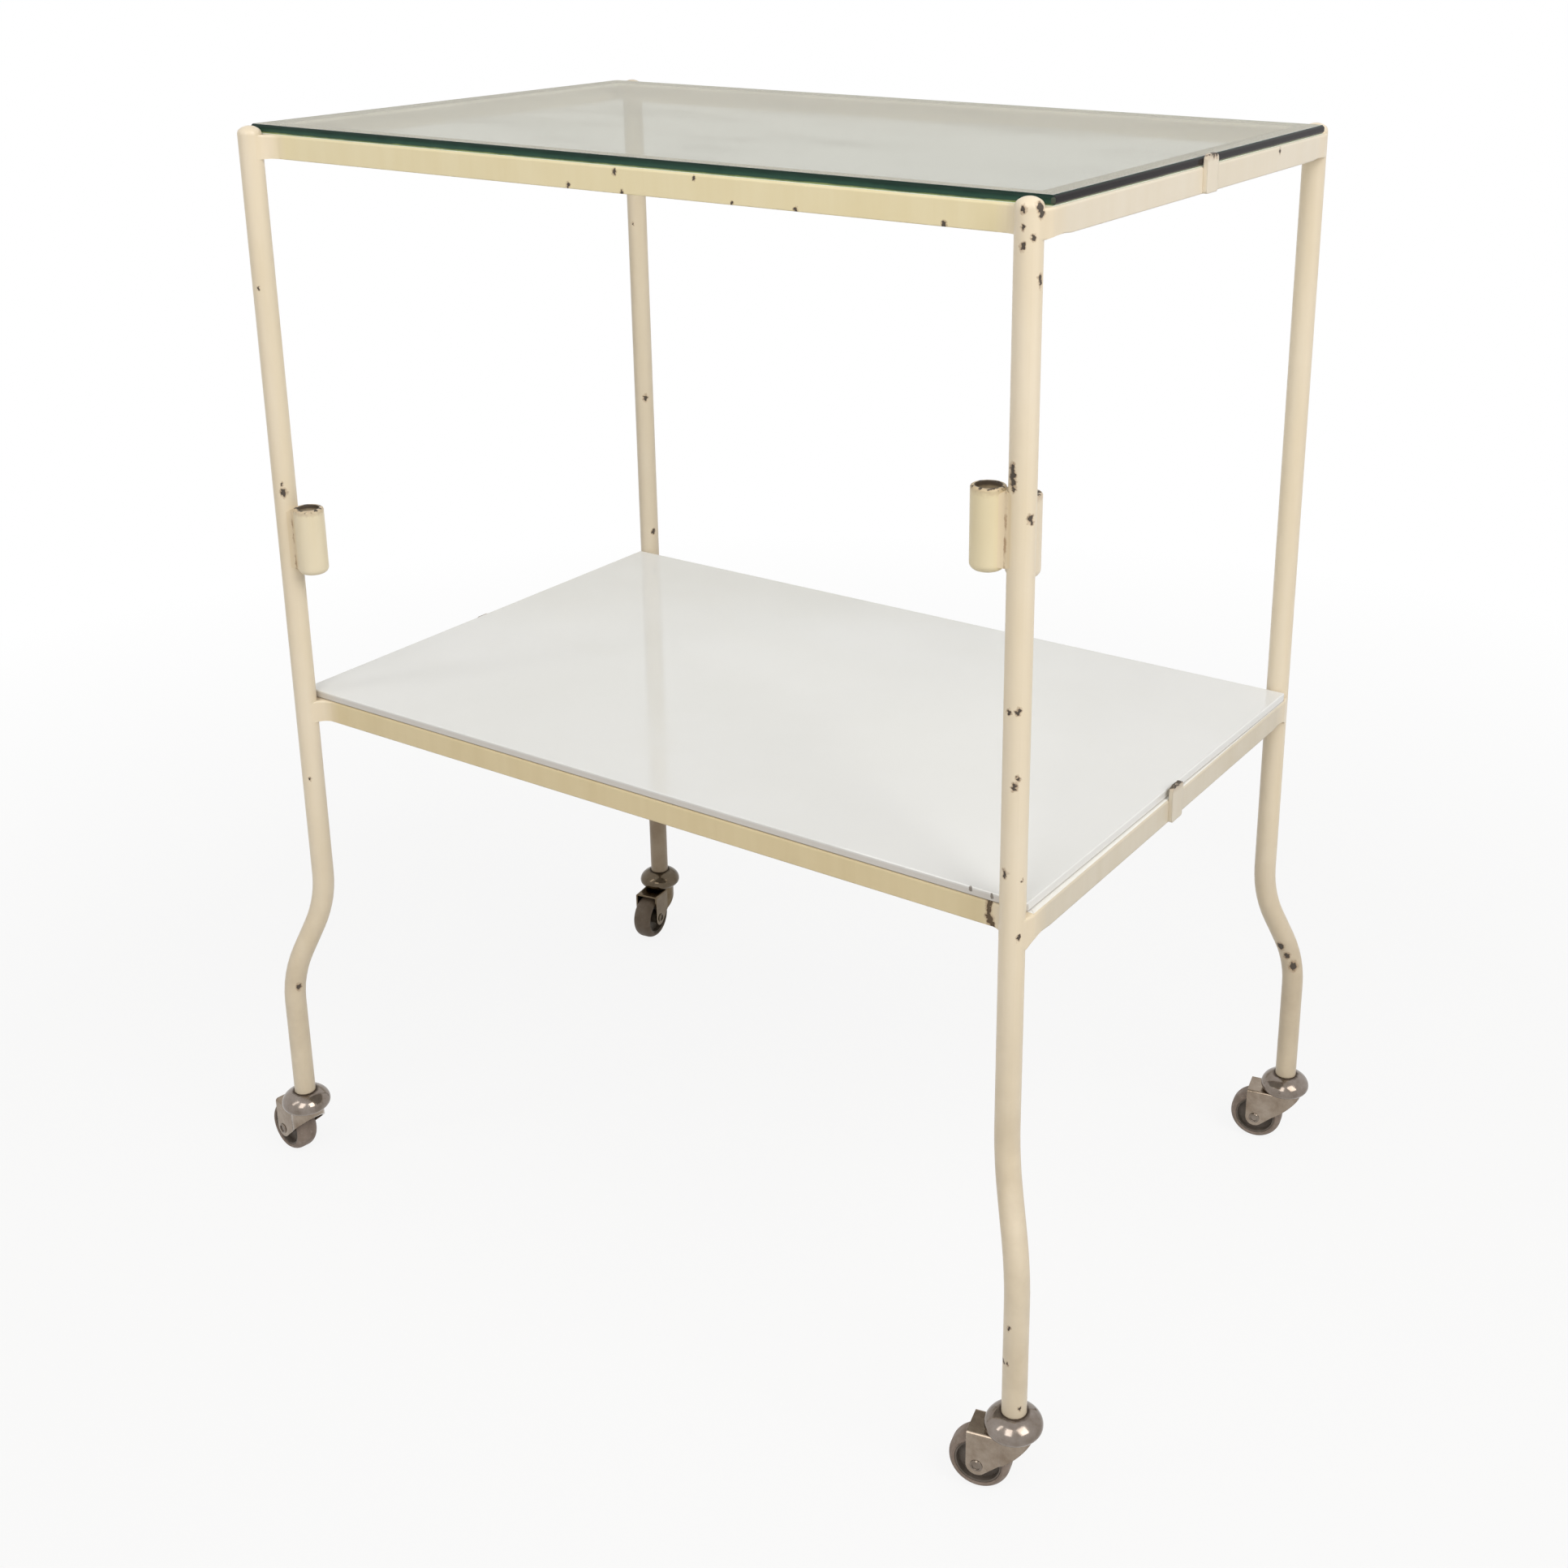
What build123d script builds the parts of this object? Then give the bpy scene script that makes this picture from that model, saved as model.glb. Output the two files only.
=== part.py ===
from build123d import *
import os
from math import asin, atan2, cos, degrees, hypot, radians, sin, sqrt, tan

os.makedirs("parts", exist_ok=True)

# Hospital trolley: four tube legs, two angle frames, two loose glass plates, four casters.
# X runs along the length, Y across, Z up from the floor, and the front is at -Y.

# Legs
leg_spacing_long = 599.0
leg_spacing_short = 402.0
leg_radius = 8.0
leg_wall = 1.5
leg_cap_rise = 5.5
top_height = 809.0
joggle_start_height = 247.5
joggle_offset = 29.8
joggle_bend_radius = 98.0
joggle_angle = 26.0

# Angle frames under the plates, set inside the legs across and past them lengthwise
frame_overhang = 10.0
frame_leg_gap = 0.2
rail_size = 16.0
rail_thickness = 2.5
rail_edge_radius = 1.6
rail_root_radius = 2.0
rail_snip_length = 20.0
rail_snip_height = 2.0

# Weld metal between the long rails and the legs
weld_gap = 0.1
weld_reach = 21.0
weld_hollow = 4.2
weld_top_step = 1.8
web_reach = 12.0
web_toe = 2.5
web_toe_thickness = 0.25
web_hollow = 0.66
web_overlap = 1.0
top_web_drop = 0.4
shelf_web_drop = 4.5

# Glass plates, the lower one cut a little out of square
glass_thickness = 6.0
glass_arris = 0.6
glass_side_margin = 0.3
top_glass_margin = 0.3
shelf_glass_margin = 3.6
shelf_glass_shift = 0.65
shelf_glass_skew = 3.8
shelf_height = 396.4

# Tabs that stop the plates sliding lengthwise
tab_width = 16.0
tab_thickness = 2.8
top_left_tab_rise = -1.0
top_right_tab_rise = 1.2
shelf_left_tab_rise = -3.4
shelf_right_tab_rise = 3.6
tab_corner_radius = 4.0
tab_foot_radius = 1.5
top_tab_shift = 2.0
shelf_tab_shift = -1.0

# Sockets for upright rods
left_socket_radius = 10.7
left_socket_bore_radius = 7.5
left_socket_offset = 19.2
right_socket_radius = 10.2
right_socket_bore_radius = 7.6
right_socket_offset = 19.2
socket_length = 48.8
socket_floor = 3.0
socket_rim_share = 0.6
socket_foot_round = 4.5
socket_weld_width = 9.0
socket_weld_top = 1.8
socket_weld_foot = 3.0
left_socket_rim_height = 541.9
right_socket_rim_height = 651.8
right_back_socket_rim_height = 643.5
left_socket_angle = 10.0
right_socket_angle = 195.0
right_back_socket_angle = 115.5

# Casters
wheel_radius = 20.2
caster_trail = 20.7
dome_radius = 18.6
dome_equator_height = 50.4
dome_rise = 11.2
dome_sheet = 1.3
dome_land_radius = 8.6
dome_hole_radius = 4.1
dome_lip_height = 45.9
dome_lip_radius = 13.6
dome_spline_steps = 4
stem_radius = 6.4
stem_length = 36.0
stem_chamfer = 1.0
kingpin_radius = 4.0
kingpin_head_radius = 6.5
kingpin_head_height = 2.4
running_gap = 0.25
face_gap = 0.3
crown_radius = 12.8
crown_height = 54.5
crown_round = 2.0
fork_sheet = 1.6
hood_height = 44.6
hood_round = 2.2
hood_inner_round = 0.8
cheek_half_width = 11.1
cheek_tip_radius = 7.0
skirt_lead_height = 41.0
ball_radius = 2.0
ball_count = 8
ball_pitch_radius = 8.8
axle_radius = 3.0
axle_head_radius = 4.2
axle_head_height = 1.0
axle_head_round = 0.7
axle_dish_radius = 2.7
axle_dish_depth = 0.7
axle_hole_gap = 0.05
tyre_half_width = 8.8
tyre_inner_radius = 15.4
tyre_shoulder_radius = 16.6
tyre_flat_half_width = 2.5
tyre_bead_half_width = 8.0
hub_boss_radius = 6.0
hub_web_half_width = 3.0
hub_rim_radius = 14.2
hub_rim_half_width = 7.6
hub_seat_gap = 0.05

# Directions in which the casters trail, in degrees from +X
caster_turn = {"front_left": 171.0, "front_right": 193.0, "rear_left": 280.0, "rear_right": 191.0}

# Length of a cutter that passes right through a piece
cutter_length = 200.0

# Frames and plates follow the leg spacing
frame_length = leg_spacing_long + 2 * frame_overhang
frame_depth = leg_spacing_short - 2 * (leg_radius + frame_leg_gap)
glass_depth = frame_depth - 2 * glass_side_margin
top_glass_length = frame_length - 2 * top_glass_margin
shelf_glass_length = frame_length - 2 * shelf_glass_margin
top_rail_height = top_height - glass_thickness
shelf_rail_height = shelf_height - glass_thickness

# The origin is under the middle of the whole outline, casters included
shoulder_rise = tyre_half_width - tyre_flat_half_width
shoulder_drop = wheel_radius - tyre_shoulder_radius
tread_round = (shoulder_rise ** 2 + shoulder_drop ** 2) / (2 * shoulder_drop)
left_swing = radians(180.0 - caster_turn["front_left"])
tread_centre = wheel_radius - tread_round
tread_reach = tread_centre * cos(left_swing) + tyre_flat_half_width * sin(left_swing) + tread_round
left_reach = caster_trail * cos(left_swing) + tread_reach
origin_shift = (left_reach - dome_radius) / 2

# Derived positions
half_long = leg_spacing_long / 2
half_short = leg_spacing_short / 2
corner_step = joggle_offset / sqrt(2)
dome_land_angle = degrees(asin(sqrt(1 - (dome_land_radius / dome_radius) ** 2)))
leg_end_height = dome_equator_height + dome_rise * sin(radians(dome_land_angle))
dome_inner_top_height = leg_end_height - dome_sheet
ball_height = crown_height + running_gap + ball_radius
cheek_inner = cheek_half_width - fork_sheet
slope = sin(radians(45))
corners = {"front_left": (-1, -1), "front_right": (1, -1), "rear_left": (-1, 1), "rear_right": (1, 1)}


def save(name, shape):
    export_step(Pos(origin_shift, 0, 0) * shape, f"parts/{name}.step")


def turned(*edges):
    # a closed outline in the XZ plane, turned about Z
    return revolve(make_face(list(edges)), axis=Axis.Z)


def wheel_turned(*edges):
    # a closed outline in the XY plane, turned about Y
    return revolve(make_face(list(edges)), axis=Axis.Y)


def outline(*points):
    return [Line(start, end) for start, end in zip(points, points[1:])]


def make_leg(side_x, side_y):
    # straight tube with a closed low dome on top, then a double bend that steps out on the diagonal
    inner_radius = leg_radius - leg_wall
    inner_rise = leg_cap_rise - leg_wall
    cap_height = top_height - leg_cap_rise
    cap = Spline(
        (leg_radius, 0, cap_height),
        (leg_radius * slope, 0, cap_height + leg_cap_rise * slope),
        (0, 0, top_height),
        tangents=((0, 0, 1), (-1, 0, 0)),
    )
    inner_cap = Spline(
        (0, 0, cap_height + inner_rise),
        (inner_radius * slope, 0, cap_height + inner_rise * slope),
        (inner_radius, 0, cap_height),
        tangents=((1, 0, 0), (0, 0, -1)),
    )
    straight = turned(
        Line((leg_radius, 0, joggle_start_height), (leg_radius, 0, cap_height)),
        cap,
        Line((0, 0, top_height), (0, 0, cap_height + inner_rise)),
        inner_cap,
        Line((inner_radius, 0, cap_height), (inner_radius, 0, joggle_start_height)),
        Line((inner_radius, 0, joggle_start_height), (leg_radius, 0, joggle_start_height)),
    )
    full = radians(joggle_angle)
    half = full / 2

    def upper_bend(turn):
        out = joggle_bend_radius * (1 - cos(turn))
        return (out, 0, joggle_start_height - joggle_bend_radius * sin(turn))

    bend_out = joggle_bend_radius * (1 - cos(full))
    middle_length = (joggle_offset - 2 * bend_out) / sin(full)
    drop = 2 * joggle_bend_radius * sin(full) + middle_length * cos(full)
    joggle_end_height = joggle_start_height - drop

    def lower_bend(turn):
        out = joggle_offset - joggle_bend_radius * (1 - cos(turn))
        return (out, 0, joggle_end_height + joggle_bend_radius * sin(turn))

    path = Wire([
        ThreePointArc(upper_bend(0), upper_bend(half), upper_bend(full)),
        Line(upper_bend(full), lower_bend(full)),
        ThreePointArc(lower_bend(full), lower_bend(half), lower_bend(0)),
        Line(lower_bend(0), (joggle_offset, 0, leg_end_height)),
    ])
    section = Plane(origin=upper_bend(0), z_dir=(0, 0, -1)) * (Circle(leg_radius) - Circle(inner_radius))
    bent = sweep(section, path=path)
    turn = degrees(atan2(side_y, side_x))
    return Pos(side_x * half_long, side_y * half_short, 0) * Rot(0, 0, turn) * (straight + bent)


def make_bar(length, face_distance, top):
    # inverted angle with mitred ends, its upright flange on the -Y side
    low = top - rail_size
    inner = rail_thickness - face_distance
    profile = Polyline(
        (-face_distance, low),
        (-face_distance, top),
        (rail_size - face_distance, top),
        (rail_size - face_distance, top - rail_thickness),
        (inner, top - rail_thickness),
        (inner, low),
        close=True,
    )
    face = make_face(profile)
    root = face.vertices().sort_by_distance((inner, top - rail_thickness, 0))[0]
    face = fillet(root, rail_root_radius)
    crest = face.vertices().sort_by_distance((-face_distance, top, 0))[0]
    face = fillet(crest, rail_edge_radius)
    bar = extrude(Plane.YZ * face, amount=length / 2, both=True)
    wedge = Polyline(
        (-length / 2, -face_distance),
        (length / 2, -face_distance),
        (length / 2 - rail_size, rail_size - face_distance),
        (rail_size - length / 2, rail_size - face_distance),
        close=True,
    )
    return bar & extrude(make_face(wedge), amount=top)


def make_long_rail(top, axis_turn, web_drop):
    # rail along the length, its lower corners cut off past the legs, with the weld metal on two legs
    low = top - rail_size
    bar = make_bar(frame_length, frame_depth / 2, top)
    for side in (-1, 1):
        axis_x = side * half_long
        notch = Box(cutter_length, frame_depth, 2 * rail_snip_height)
        leg_space = Cylinder(leg_radius + weld_gap, cutter_length)
        bar = bar + corner_filler(side, low, top - weld_top_step)
        bar = bar - Pos(axis_x + side * cutter_length / 2, -half_short, low) * notch
        bar = bar + corner_web(side, low, web_drop)
        bar = bar - Pos(axis_x, -half_short, low) * leg_space
    return Rot(0, 0, axis_turn) * bar


def make_end_rail(top, axis_turn):
    # rail across an end, its upright flange snipped at the lower corners
    low = top - rail_size
    bar = make_bar(frame_depth, frame_length / 2, top)
    end = frame_depth / 2
    for side in (-1, 1):
        snip = make_face(Polyline(
            (side * end, low),
            (side * end, low + rail_snip_height),
            (side * (end - rail_snip_length), low),
            close=True,
        ))
        bar = bar - extrude(Plane.XZ * snip, amount=cutter_length * 2, both=True)
    return Rot(0, 0, axis_turn) * bar


def corner_filler(side, low, high):
    # weld metal between the long rail's face and the leg beside it, with a hollow inner flank
    face_y = -frame_depth / 2
    axis_x = side * half_long
    rail_y = face_y + rail_thickness / 2
    end_x = side * (frame_length / 2 - rail_thickness / 2)
    toe = (axis_x - side * weld_reach, face_y)
    flank = (axis_x - side * leg_radius, -half_short)
    middle_x = (toe[0] + flank[0]) / 2 + side * weld_hollow / 2
    middle_y = (toe[1] + flank[1]) / 2 + weld_hollow / 2
    face = make_face([
        ThreePointArc(toe, (middle_x, middle_y), flank),
        Line(flank, (axis_x + side * leg_radius, -half_short)),
        Line((axis_x + side * leg_radius, -half_short), (side * frame_length / 2, face_y)),
        Line((side * frame_length / 2, face_y), (end_x, rail_y)),
        Line((end_x, rail_y), (toe[0], rail_y)),
        Line((toe[0], rail_y), toe),
    ])
    return Pos(0, 0, low) * extrude(face, amount=high - low)


def corner_web(side, low, drop):
    # hollow web in line with the end rail, from its snipped corner down the leg's outer side
    face_y = -frame_depth / 2
    axis_x = side * half_long
    end_x = side * frame_length / 2
    foot = low - drop
    high = low + rail_snip_height
    toe_y = web_toe - half_short
    tip_y = face_y + web_reach
    tip_z = low + rail_snip_height * (1 - web_reach / rail_snip_length) - weld_gap
    plan = make_face(Polyline(
        (axis_x + side * leg_radius, -half_short),
        (end_x, face_y),
        (end_x, tip_y),
        (end_x - side * rail_thickness, tip_y),
        (axis_x + side * leg_radius / 2, -half_short),
        close=True,
    ))
    hollow = (tip_y - web_hollow * (tip_y - toe_y), foot + web_hollow * (tip_z - foot))
    profile = make_face([
        Line((tip_y, tip_z), (face_y, high - weld_gap)),
        Line((face_y, high - weld_gap), (face_y, high + web_overlap)),
        Line((face_y, high + web_overlap), (-half_short, high + web_overlap)),
        Line((-half_short, high + web_overlap), (-half_short, foot)),
        Line((-half_short, foot), (toe_y, foot)),
        ThreePointArc((toe_y, foot), hollow, (tip_y, tip_z)),
    ])
    lean = make_face(Polyline(
        (0, foot),
        (axis_x + side * (leg_radius + weld_gap + web_toe_thickness), foot),
        (end_x, low),
        (end_x, high + web_overlap),
        (0, high + web_overlap),
        close=True,
    ))
    web = Pos(0, 0, foot) * extrude(plan, amount=high + web_overlap - foot)
    web = web & extrude(Plane.YZ * profile, amount=frame_length, both=True)
    return web & extrude(Plane.XZ * lean, amount=frame_depth, both=True)


def make_tab(side, shift, rail_top, tab_top):
    # flat upright strip on the end rail's outer face, rounded at its corners
    foot = rail_top - rail_size
    flat = Pos(shift, (foot + tab_top) / 2) * Rectangle(tab_width, tab_top - foot)
    flat = fillet(flat.vertices().group_by(Axis.Y)[-1], tab_corner_radius)
    flat = fillet(flat.vertices().group_by(Axis.Y)[0], tab_foot_radius)
    strip = extrude(Plane.YZ * flat, amount=side * tab_thickness)
    return Pos(side * frame_length / 2, 0, 0) * strip


def make_socket(side, angle, rim, radius, bore, offset):
    # short thick tube with a closed foot and a rounded rim, held to a front leg by a weld strip
    foot_flat = radius - socket_foot_round
    round_height = socket_foot_round - socket_length
    floor_height = socket_floor - socket_length
    rim_round = socket_rim_share * (radius - bore)
    rim_flat = radius - rim_round
    tube = turned(
        Line((bore, 0, 0), (rim_flat, 0, 0)),
        ThreePointArc(
            (rim_flat, 0, 0),
            (rim_flat + rim_round * slope, 0, rim_round * slope - rim_round),
            (radius, 0, -rim_round),
        ),
        Line((radius, 0, -rim_round), (radius, 0, round_height)),
        ThreePointArc(
            (radius, 0, round_height),
            (foot_flat + socket_foot_round * slope, 0, round_height - socket_foot_round * slope),
            (foot_flat, 0, -socket_length),
        ),
        Line((foot_flat, 0, -socket_length), (0, 0, -socket_length)),
        Line((0, 0, -socket_length), (0, 0, floor_height)),
        Line((0, 0, floor_height), (bore, 0, floor_height)),
        Line((bore, 0, floor_height), (bore, 0, 0)),
    )
    wall_middle = (radius + bore) / 2
    strip_length = offset - wall_middle
    strip_height = socket_length - socket_weld_top - socket_weld_foot
    strip_centre = -socket_weld_top - strip_height / 2
    strip = Box(strip_length, socket_weld_width, strip_height)
    strip = Pos(-(offset + wall_middle) / 2, 0, strip_centre) * strip
    leg_space = Pos(-offset, 0, 0) * Cylinder(leg_radius + weld_gap, cutter_length)
    place = Pos(side * half_long, -half_short, rim) * Rot(0, 0, angle) * Pos(offset, 0, 0)
    return place * (tube + (strip - leg_space))


def make_stem():
    # plug in the leg's end with the kingpin below it and the kingpin's closed rivet head
    head_top = crown_height - fork_sheet - face_gap
    head_foot = head_top - kingpin_head_height
    plug_top = leg_end_height + stem_length
    return turned(*outline(
        (0, 0, plug_top),
        (stem_radius - stem_chamfer, 0, plug_top),
        (stem_radius, 0, plug_top - stem_chamfer),
        (stem_radius, 0, leg_end_height),
        (kingpin_radius, 0, leg_end_height),
        (kingpin_radius, 0, head_top),
        (kingpin_head_radius, 0, head_top),
        (kingpin_head_radius - stem_chamfer, 0, head_foot),
        (0, 0, head_foot),
        (0, 0, plug_top),
    ))


def make_dome():
    # pressed cover: flat land for the leg, oval dome, rim curled in under the ball race
    inner_radius = dome_radius - dome_sheet
    inner_rise = dome_rise - dome_sheet
    inner_sine = (dome_inner_top_height - dome_equator_height) / inner_rise
    inner_land_angle = degrees(asin(inner_sine))
    inner_land_radius = inner_radius * sqrt(1 - inner_sine ** 2)
    lip_drop = dome_equator_height - dome_lip_height
    lip_top = dome_lip_height + dome_sheet
    inner_drop = dome_equator_height - lip_top
    curl_start = dome_radius - lip_drop

    def dome_arc(radius, rise, first, last):
        points = []
        for step in range(dome_spline_steps + 1):
            angle = radians(first + (last - first) * step / dome_spline_steps)
            points.append((radius * cos(angle), 0, dome_equator_height + rise * sin(angle)))
        return Spline(*points)

    return turned(
        dome_arc(dome_radius, dome_rise, 0, dome_land_angle),
        Line((dome_land_radius, 0, leg_end_height), (dome_hole_radius, 0, leg_end_height)),
        Line((dome_hole_radius, 0, leg_end_height), (dome_hole_radius, 0, dome_inner_top_height)),
        Line((dome_hole_radius, 0, dome_inner_top_height), (inner_land_radius, 0, dome_inner_top_height)),
        dome_arc(inner_radius, inner_rise, inner_land_angle, 0),
        ThreePointArc(
            (inner_radius, 0, dome_equator_height),
            (curl_start + inner_drop * slope, 0, dome_equator_height - inner_drop * slope),
            (curl_start, 0, lip_top),
        ),
        Line((curl_start, 0, lip_top), (dome_lip_radius, 0, lip_top)),
        Line((dome_lip_radius, 0, lip_top), (dome_lip_radius, 0, dome_lip_height)),
        Line((dome_lip_radius, 0, dome_lip_height), (curl_start, 0, dome_lip_height)),
        ThreePointArc(
            (curl_start, 0, dome_lip_height),
            (curl_start + lip_drop * slope, 0, dome_equator_height - lip_drop * slope),
            (dome_radius, 0, dome_equator_height),
        ),
    )


def make_balls():
    ring = []
    for index in range(ball_count):
        angle = radians(360 * index / ball_count)
        centre = (ball_pitch_radius * cos(angle), ball_pitch_radius * sin(angle), ball_height)
        ring.append(Pos(*centre) * Sphere(ball_radius))
    return Compound(ring)


def hood_section(half_width, top, corner_round):
    flat = Pos(0, top / 2) * Rectangle(2 * half_width, top)
    return fillet(flat.vertices().group_by(Axis.Y)[-1], corner_round)


def make_fork():
    # drawn cup round the kingpin, flat hood behind it, two cheeks that taper to the axle
    trailing = caster_trail + cheek_tip_radius
    cup = Cylinder(crown_radius, crown_height, align=(Align.CENTER, Align.CENTER, Align.MIN))
    cup = fillet(cup.edges().group_by(Axis.Z)[-1], crown_round)
    hood = extrude(Plane.YZ * hood_section(cheek_half_width, hood_height, hood_round), amount=trailing)
    cup_space = Cylinder(
        crown_radius - fork_sheet,
        crown_height - fork_sheet,
        align=(Align.CENTER, Align.CENTER, Align.MIN),
    )
    hood_space = extrude(
        Plane.YZ * hood_section(cheek_inner, hood_height - fork_sheet, hood_inner_round),
        amount=cutter_length,
    )
    body = cup + hood - cup_space - hood_space
    to_axle_x = caster_trail + crown_radius
    to_axle_z = wheel_radius - skirt_lead_height
    lean = atan2(to_axle_z, to_axle_x) - asin(cheek_tip_radius / hypot(to_axle_x, to_axle_z))

    def tip_point(angle):
        return (caster_trail + cheek_tip_radius * cos(angle), wheel_radius + cheek_tip_radius * sin(angle))

    tangent_angle = lean - radians(90)
    lead_x = -cutter_length / 2
    lead_z = skirt_lead_height + (crown_radius + lead_x) * tan(lean)
    side = make_face([
        Line((lead_x, lead_z), (lead_x, cutter_length)),
        Line((lead_x, cutter_length), (trailing, cutter_length)),
        Line((trailing, cutter_length), tip_point(0)),
        ThreePointArc(tip_point(0), tip_point(tangent_angle / 2), tip_point(tangent_angle)),
        Line(tip_point(tangent_angle), (lead_x, lead_z)),
    ])
    body = body & extrude(Plane.XZ * side, amount=cutter_length, both=True)
    kingpin_hole = Pos(0, 0, crown_height) * Cylinder(kingpin_radius + running_gap, 4 * fork_sheet)
    axle_hole = Cylinder(axle_radius + axle_hole_gap, cutter_length)
    return body - kingpin_hole - Pos(caster_trail, 0, wheel_radius) * Rot(90, 0, 0) * axle_hole


def make_axle():
    # rivet with a dished head on each cheek
    head = cheek_half_width + axle_head_height
    rounded = axle_head_radius - axle_head_round
    shoulder = head - axle_head_round
    dish_floor = head - axle_dish_depth
    return wheel_turned(*outline(
        (0, -dish_floor, 0),
        (axle_dish_radius, -dish_floor, 0),
        (axle_dish_radius, -head, 0),
        (rounded, -head, 0),
        (axle_head_radius, -shoulder, 0),
        (axle_head_radius, -cheek_half_width, 0),
        (axle_radius, -cheek_half_width, 0),
        (axle_radius, cheek_half_width, 0),
        (axle_head_radius, cheek_half_width, 0),
        (axle_head_radius, shoulder, 0),
        (rounded, head, 0),
        (axle_dish_radius, head, 0),
        (axle_dish_radius, dish_floor, 0),
        (0, dish_floor, 0),
        (0, -dish_floor, 0),
    ))


def make_hub():
    boss = cheek_inner - face_gap
    bore = axle_radius + running_gap
    seat = tyre_inner_radius - hub_seat_gap
    return wheel_turned(*outline(
        (bore, -boss, 0),
        (hub_boss_radius, -boss, 0),
        (hub_boss_radius, -hub_web_half_width, 0),
        (hub_rim_radius, -hub_web_half_width, 0),
        (hub_rim_radius, -hub_rim_half_width, 0),
        (seat, -hub_rim_half_width, 0),
        (seat, hub_rim_half_width, 0),
        (hub_rim_radius, hub_rim_half_width, 0),
        (hub_rim_radius, hub_web_half_width, 0),
        (hub_boss_radius, hub_web_half_width, 0),
        (hub_boss_radius, boss, 0),
        (bore, boss, 0),
        (bore, -boss, 0),
    ))


def make_tyre():
    # solid tyre with a flat middle and full round shoulders
    shoulder_turn = atan2(shoulder_rise, tyre_shoulder_radius - wheel_radius + tread_round) / 2
    shoulder_mid = (
        wheel_radius - tread_round * (1 - cos(shoulder_turn)),
        tyre_flat_half_width + tread_round * sin(shoulder_turn),
    )
    return wheel_turned(
        Line((tyre_inner_radius, -tyre_bead_half_width), (tyre_inner_radius, tyre_bead_half_width)),
        Line((tyre_inner_radius, tyre_bead_half_width), (tyre_shoulder_radius, tyre_half_width)),
        ThreePointArc(
            (tyre_shoulder_radius, tyre_half_width),
            shoulder_mid,
            (wheel_radius, tyre_flat_half_width),
        ),
        Line((wheel_radius, tyre_flat_half_width), (wheel_radius, -tyre_flat_half_width)),
        ThreePointArc(
            (wheel_radius, -tyre_flat_half_width),
            (shoulder_mid[0], -shoulder_mid[1]),
            (tyre_shoulder_radius, -tyre_half_width),
        ),
        Line((tyre_shoulder_radius, -tyre_half_width), (tyre_inner_radius, -tyre_bead_half_width)),
    )


def make_plate(length, top, shift, skew):
    # loose plate with its edges taken off, each end leaning by the skew over the depth
    half = length / 2
    lean = skew / 2
    front = -glass_depth / 2
    rear = glass_depth / 2
    plan = make_face(Polyline(
        (shift - half - lean, front),
        (shift + half - lean, front),
        (shift + half + lean, rear),
        (shift - half + lean, rear),
        close=True,
    ))
    plate = Pos(0, 0, top - glass_thickness) * extrude(plan, amount=glass_thickness)
    return chamfer(plate.edges(), glass_arris)


# Legs
for corner, (side_x, side_y) in corners.items():
    save(f"leg_{corner}", make_leg(side_x, side_y))

# Frames, tabs and plates
for level, rail_height, web_drop in (
    ("top", top_rail_height, top_web_drop),
    ("shelf", shelf_rail_height, shelf_web_drop),
):
    save(f"{level}_rail_front", make_long_rail(rail_height, 0, web_drop))
    save(f"{level}_rail_right", make_end_rail(rail_height, 90))
    save(f"{level}_rail_rear", make_long_rail(rail_height, 180, web_drop))
    save(f"{level}_rail_left", make_end_rail(rail_height, 270))
for end, side, rise in (("left", -1, top_left_tab_rise), ("right", 1, top_right_tab_rise)):
    save(f"top_tab_{end}", make_tab(side, top_tab_shift, top_rail_height, top_height + rise))
for end, side, rise in (("left", -1, shelf_left_tab_rise), ("right", 1, shelf_right_tab_rise)):
    save(f"shelf_tab_{end}", make_tab(side, shelf_tab_shift, shelf_rail_height, shelf_height + rise))
save("top_glass", make_plate(top_glass_length, top_height, 0, 0))
save("shelf_glass", make_plate(shelf_glass_length, shelf_height, shelf_glass_shift, shelf_glass_skew))

# Rod sockets
save("rod_socket_left", make_socket(
    -1,
    left_socket_angle,
    left_socket_rim_height,
    left_socket_radius,
    left_socket_bore_radius,
    left_socket_offset,
))
for name, angle, rim in (
    ("front", right_socket_angle, right_socket_rim_height),
    ("rear", right_back_socket_angle, right_back_socket_rim_height),
):
    save(f"rod_socket_right_{name}", make_socket(
        1,
        angle,
        rim,
        right_socket_radius,
        right_socket_bore_radius,
        right_socket_offset,
    ))

# Casters, each turned to its own direction
caster_fixed = {"stem": make_stem(), "dome": make_dome(), "balls": make_balls()}
caster_turning = {"fork": make_fork()}
caster_wheel = {"axle": make_axle(), "hub": make_hub(), "tyre": make_tyre()}
for corner, (side_x, side_y) in corners.items():
    seat = Pos(side_x * (half_long + corner_step), side_y * (half_short + corner_step), 0)
    turn = Rot(0, 0, caster_turn[corner])
    for piece, shape in (caster_fixed | caster_turning).items():
        save(f"caster_{piece}_{corner}", seat * turn * shape)
    for piece, shape in caster_wheel.items():
        save(f"caster_{piece}_{corner}", seat * turn * Pos(caster_trail, 0, wheel_radius) * shape)
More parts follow.
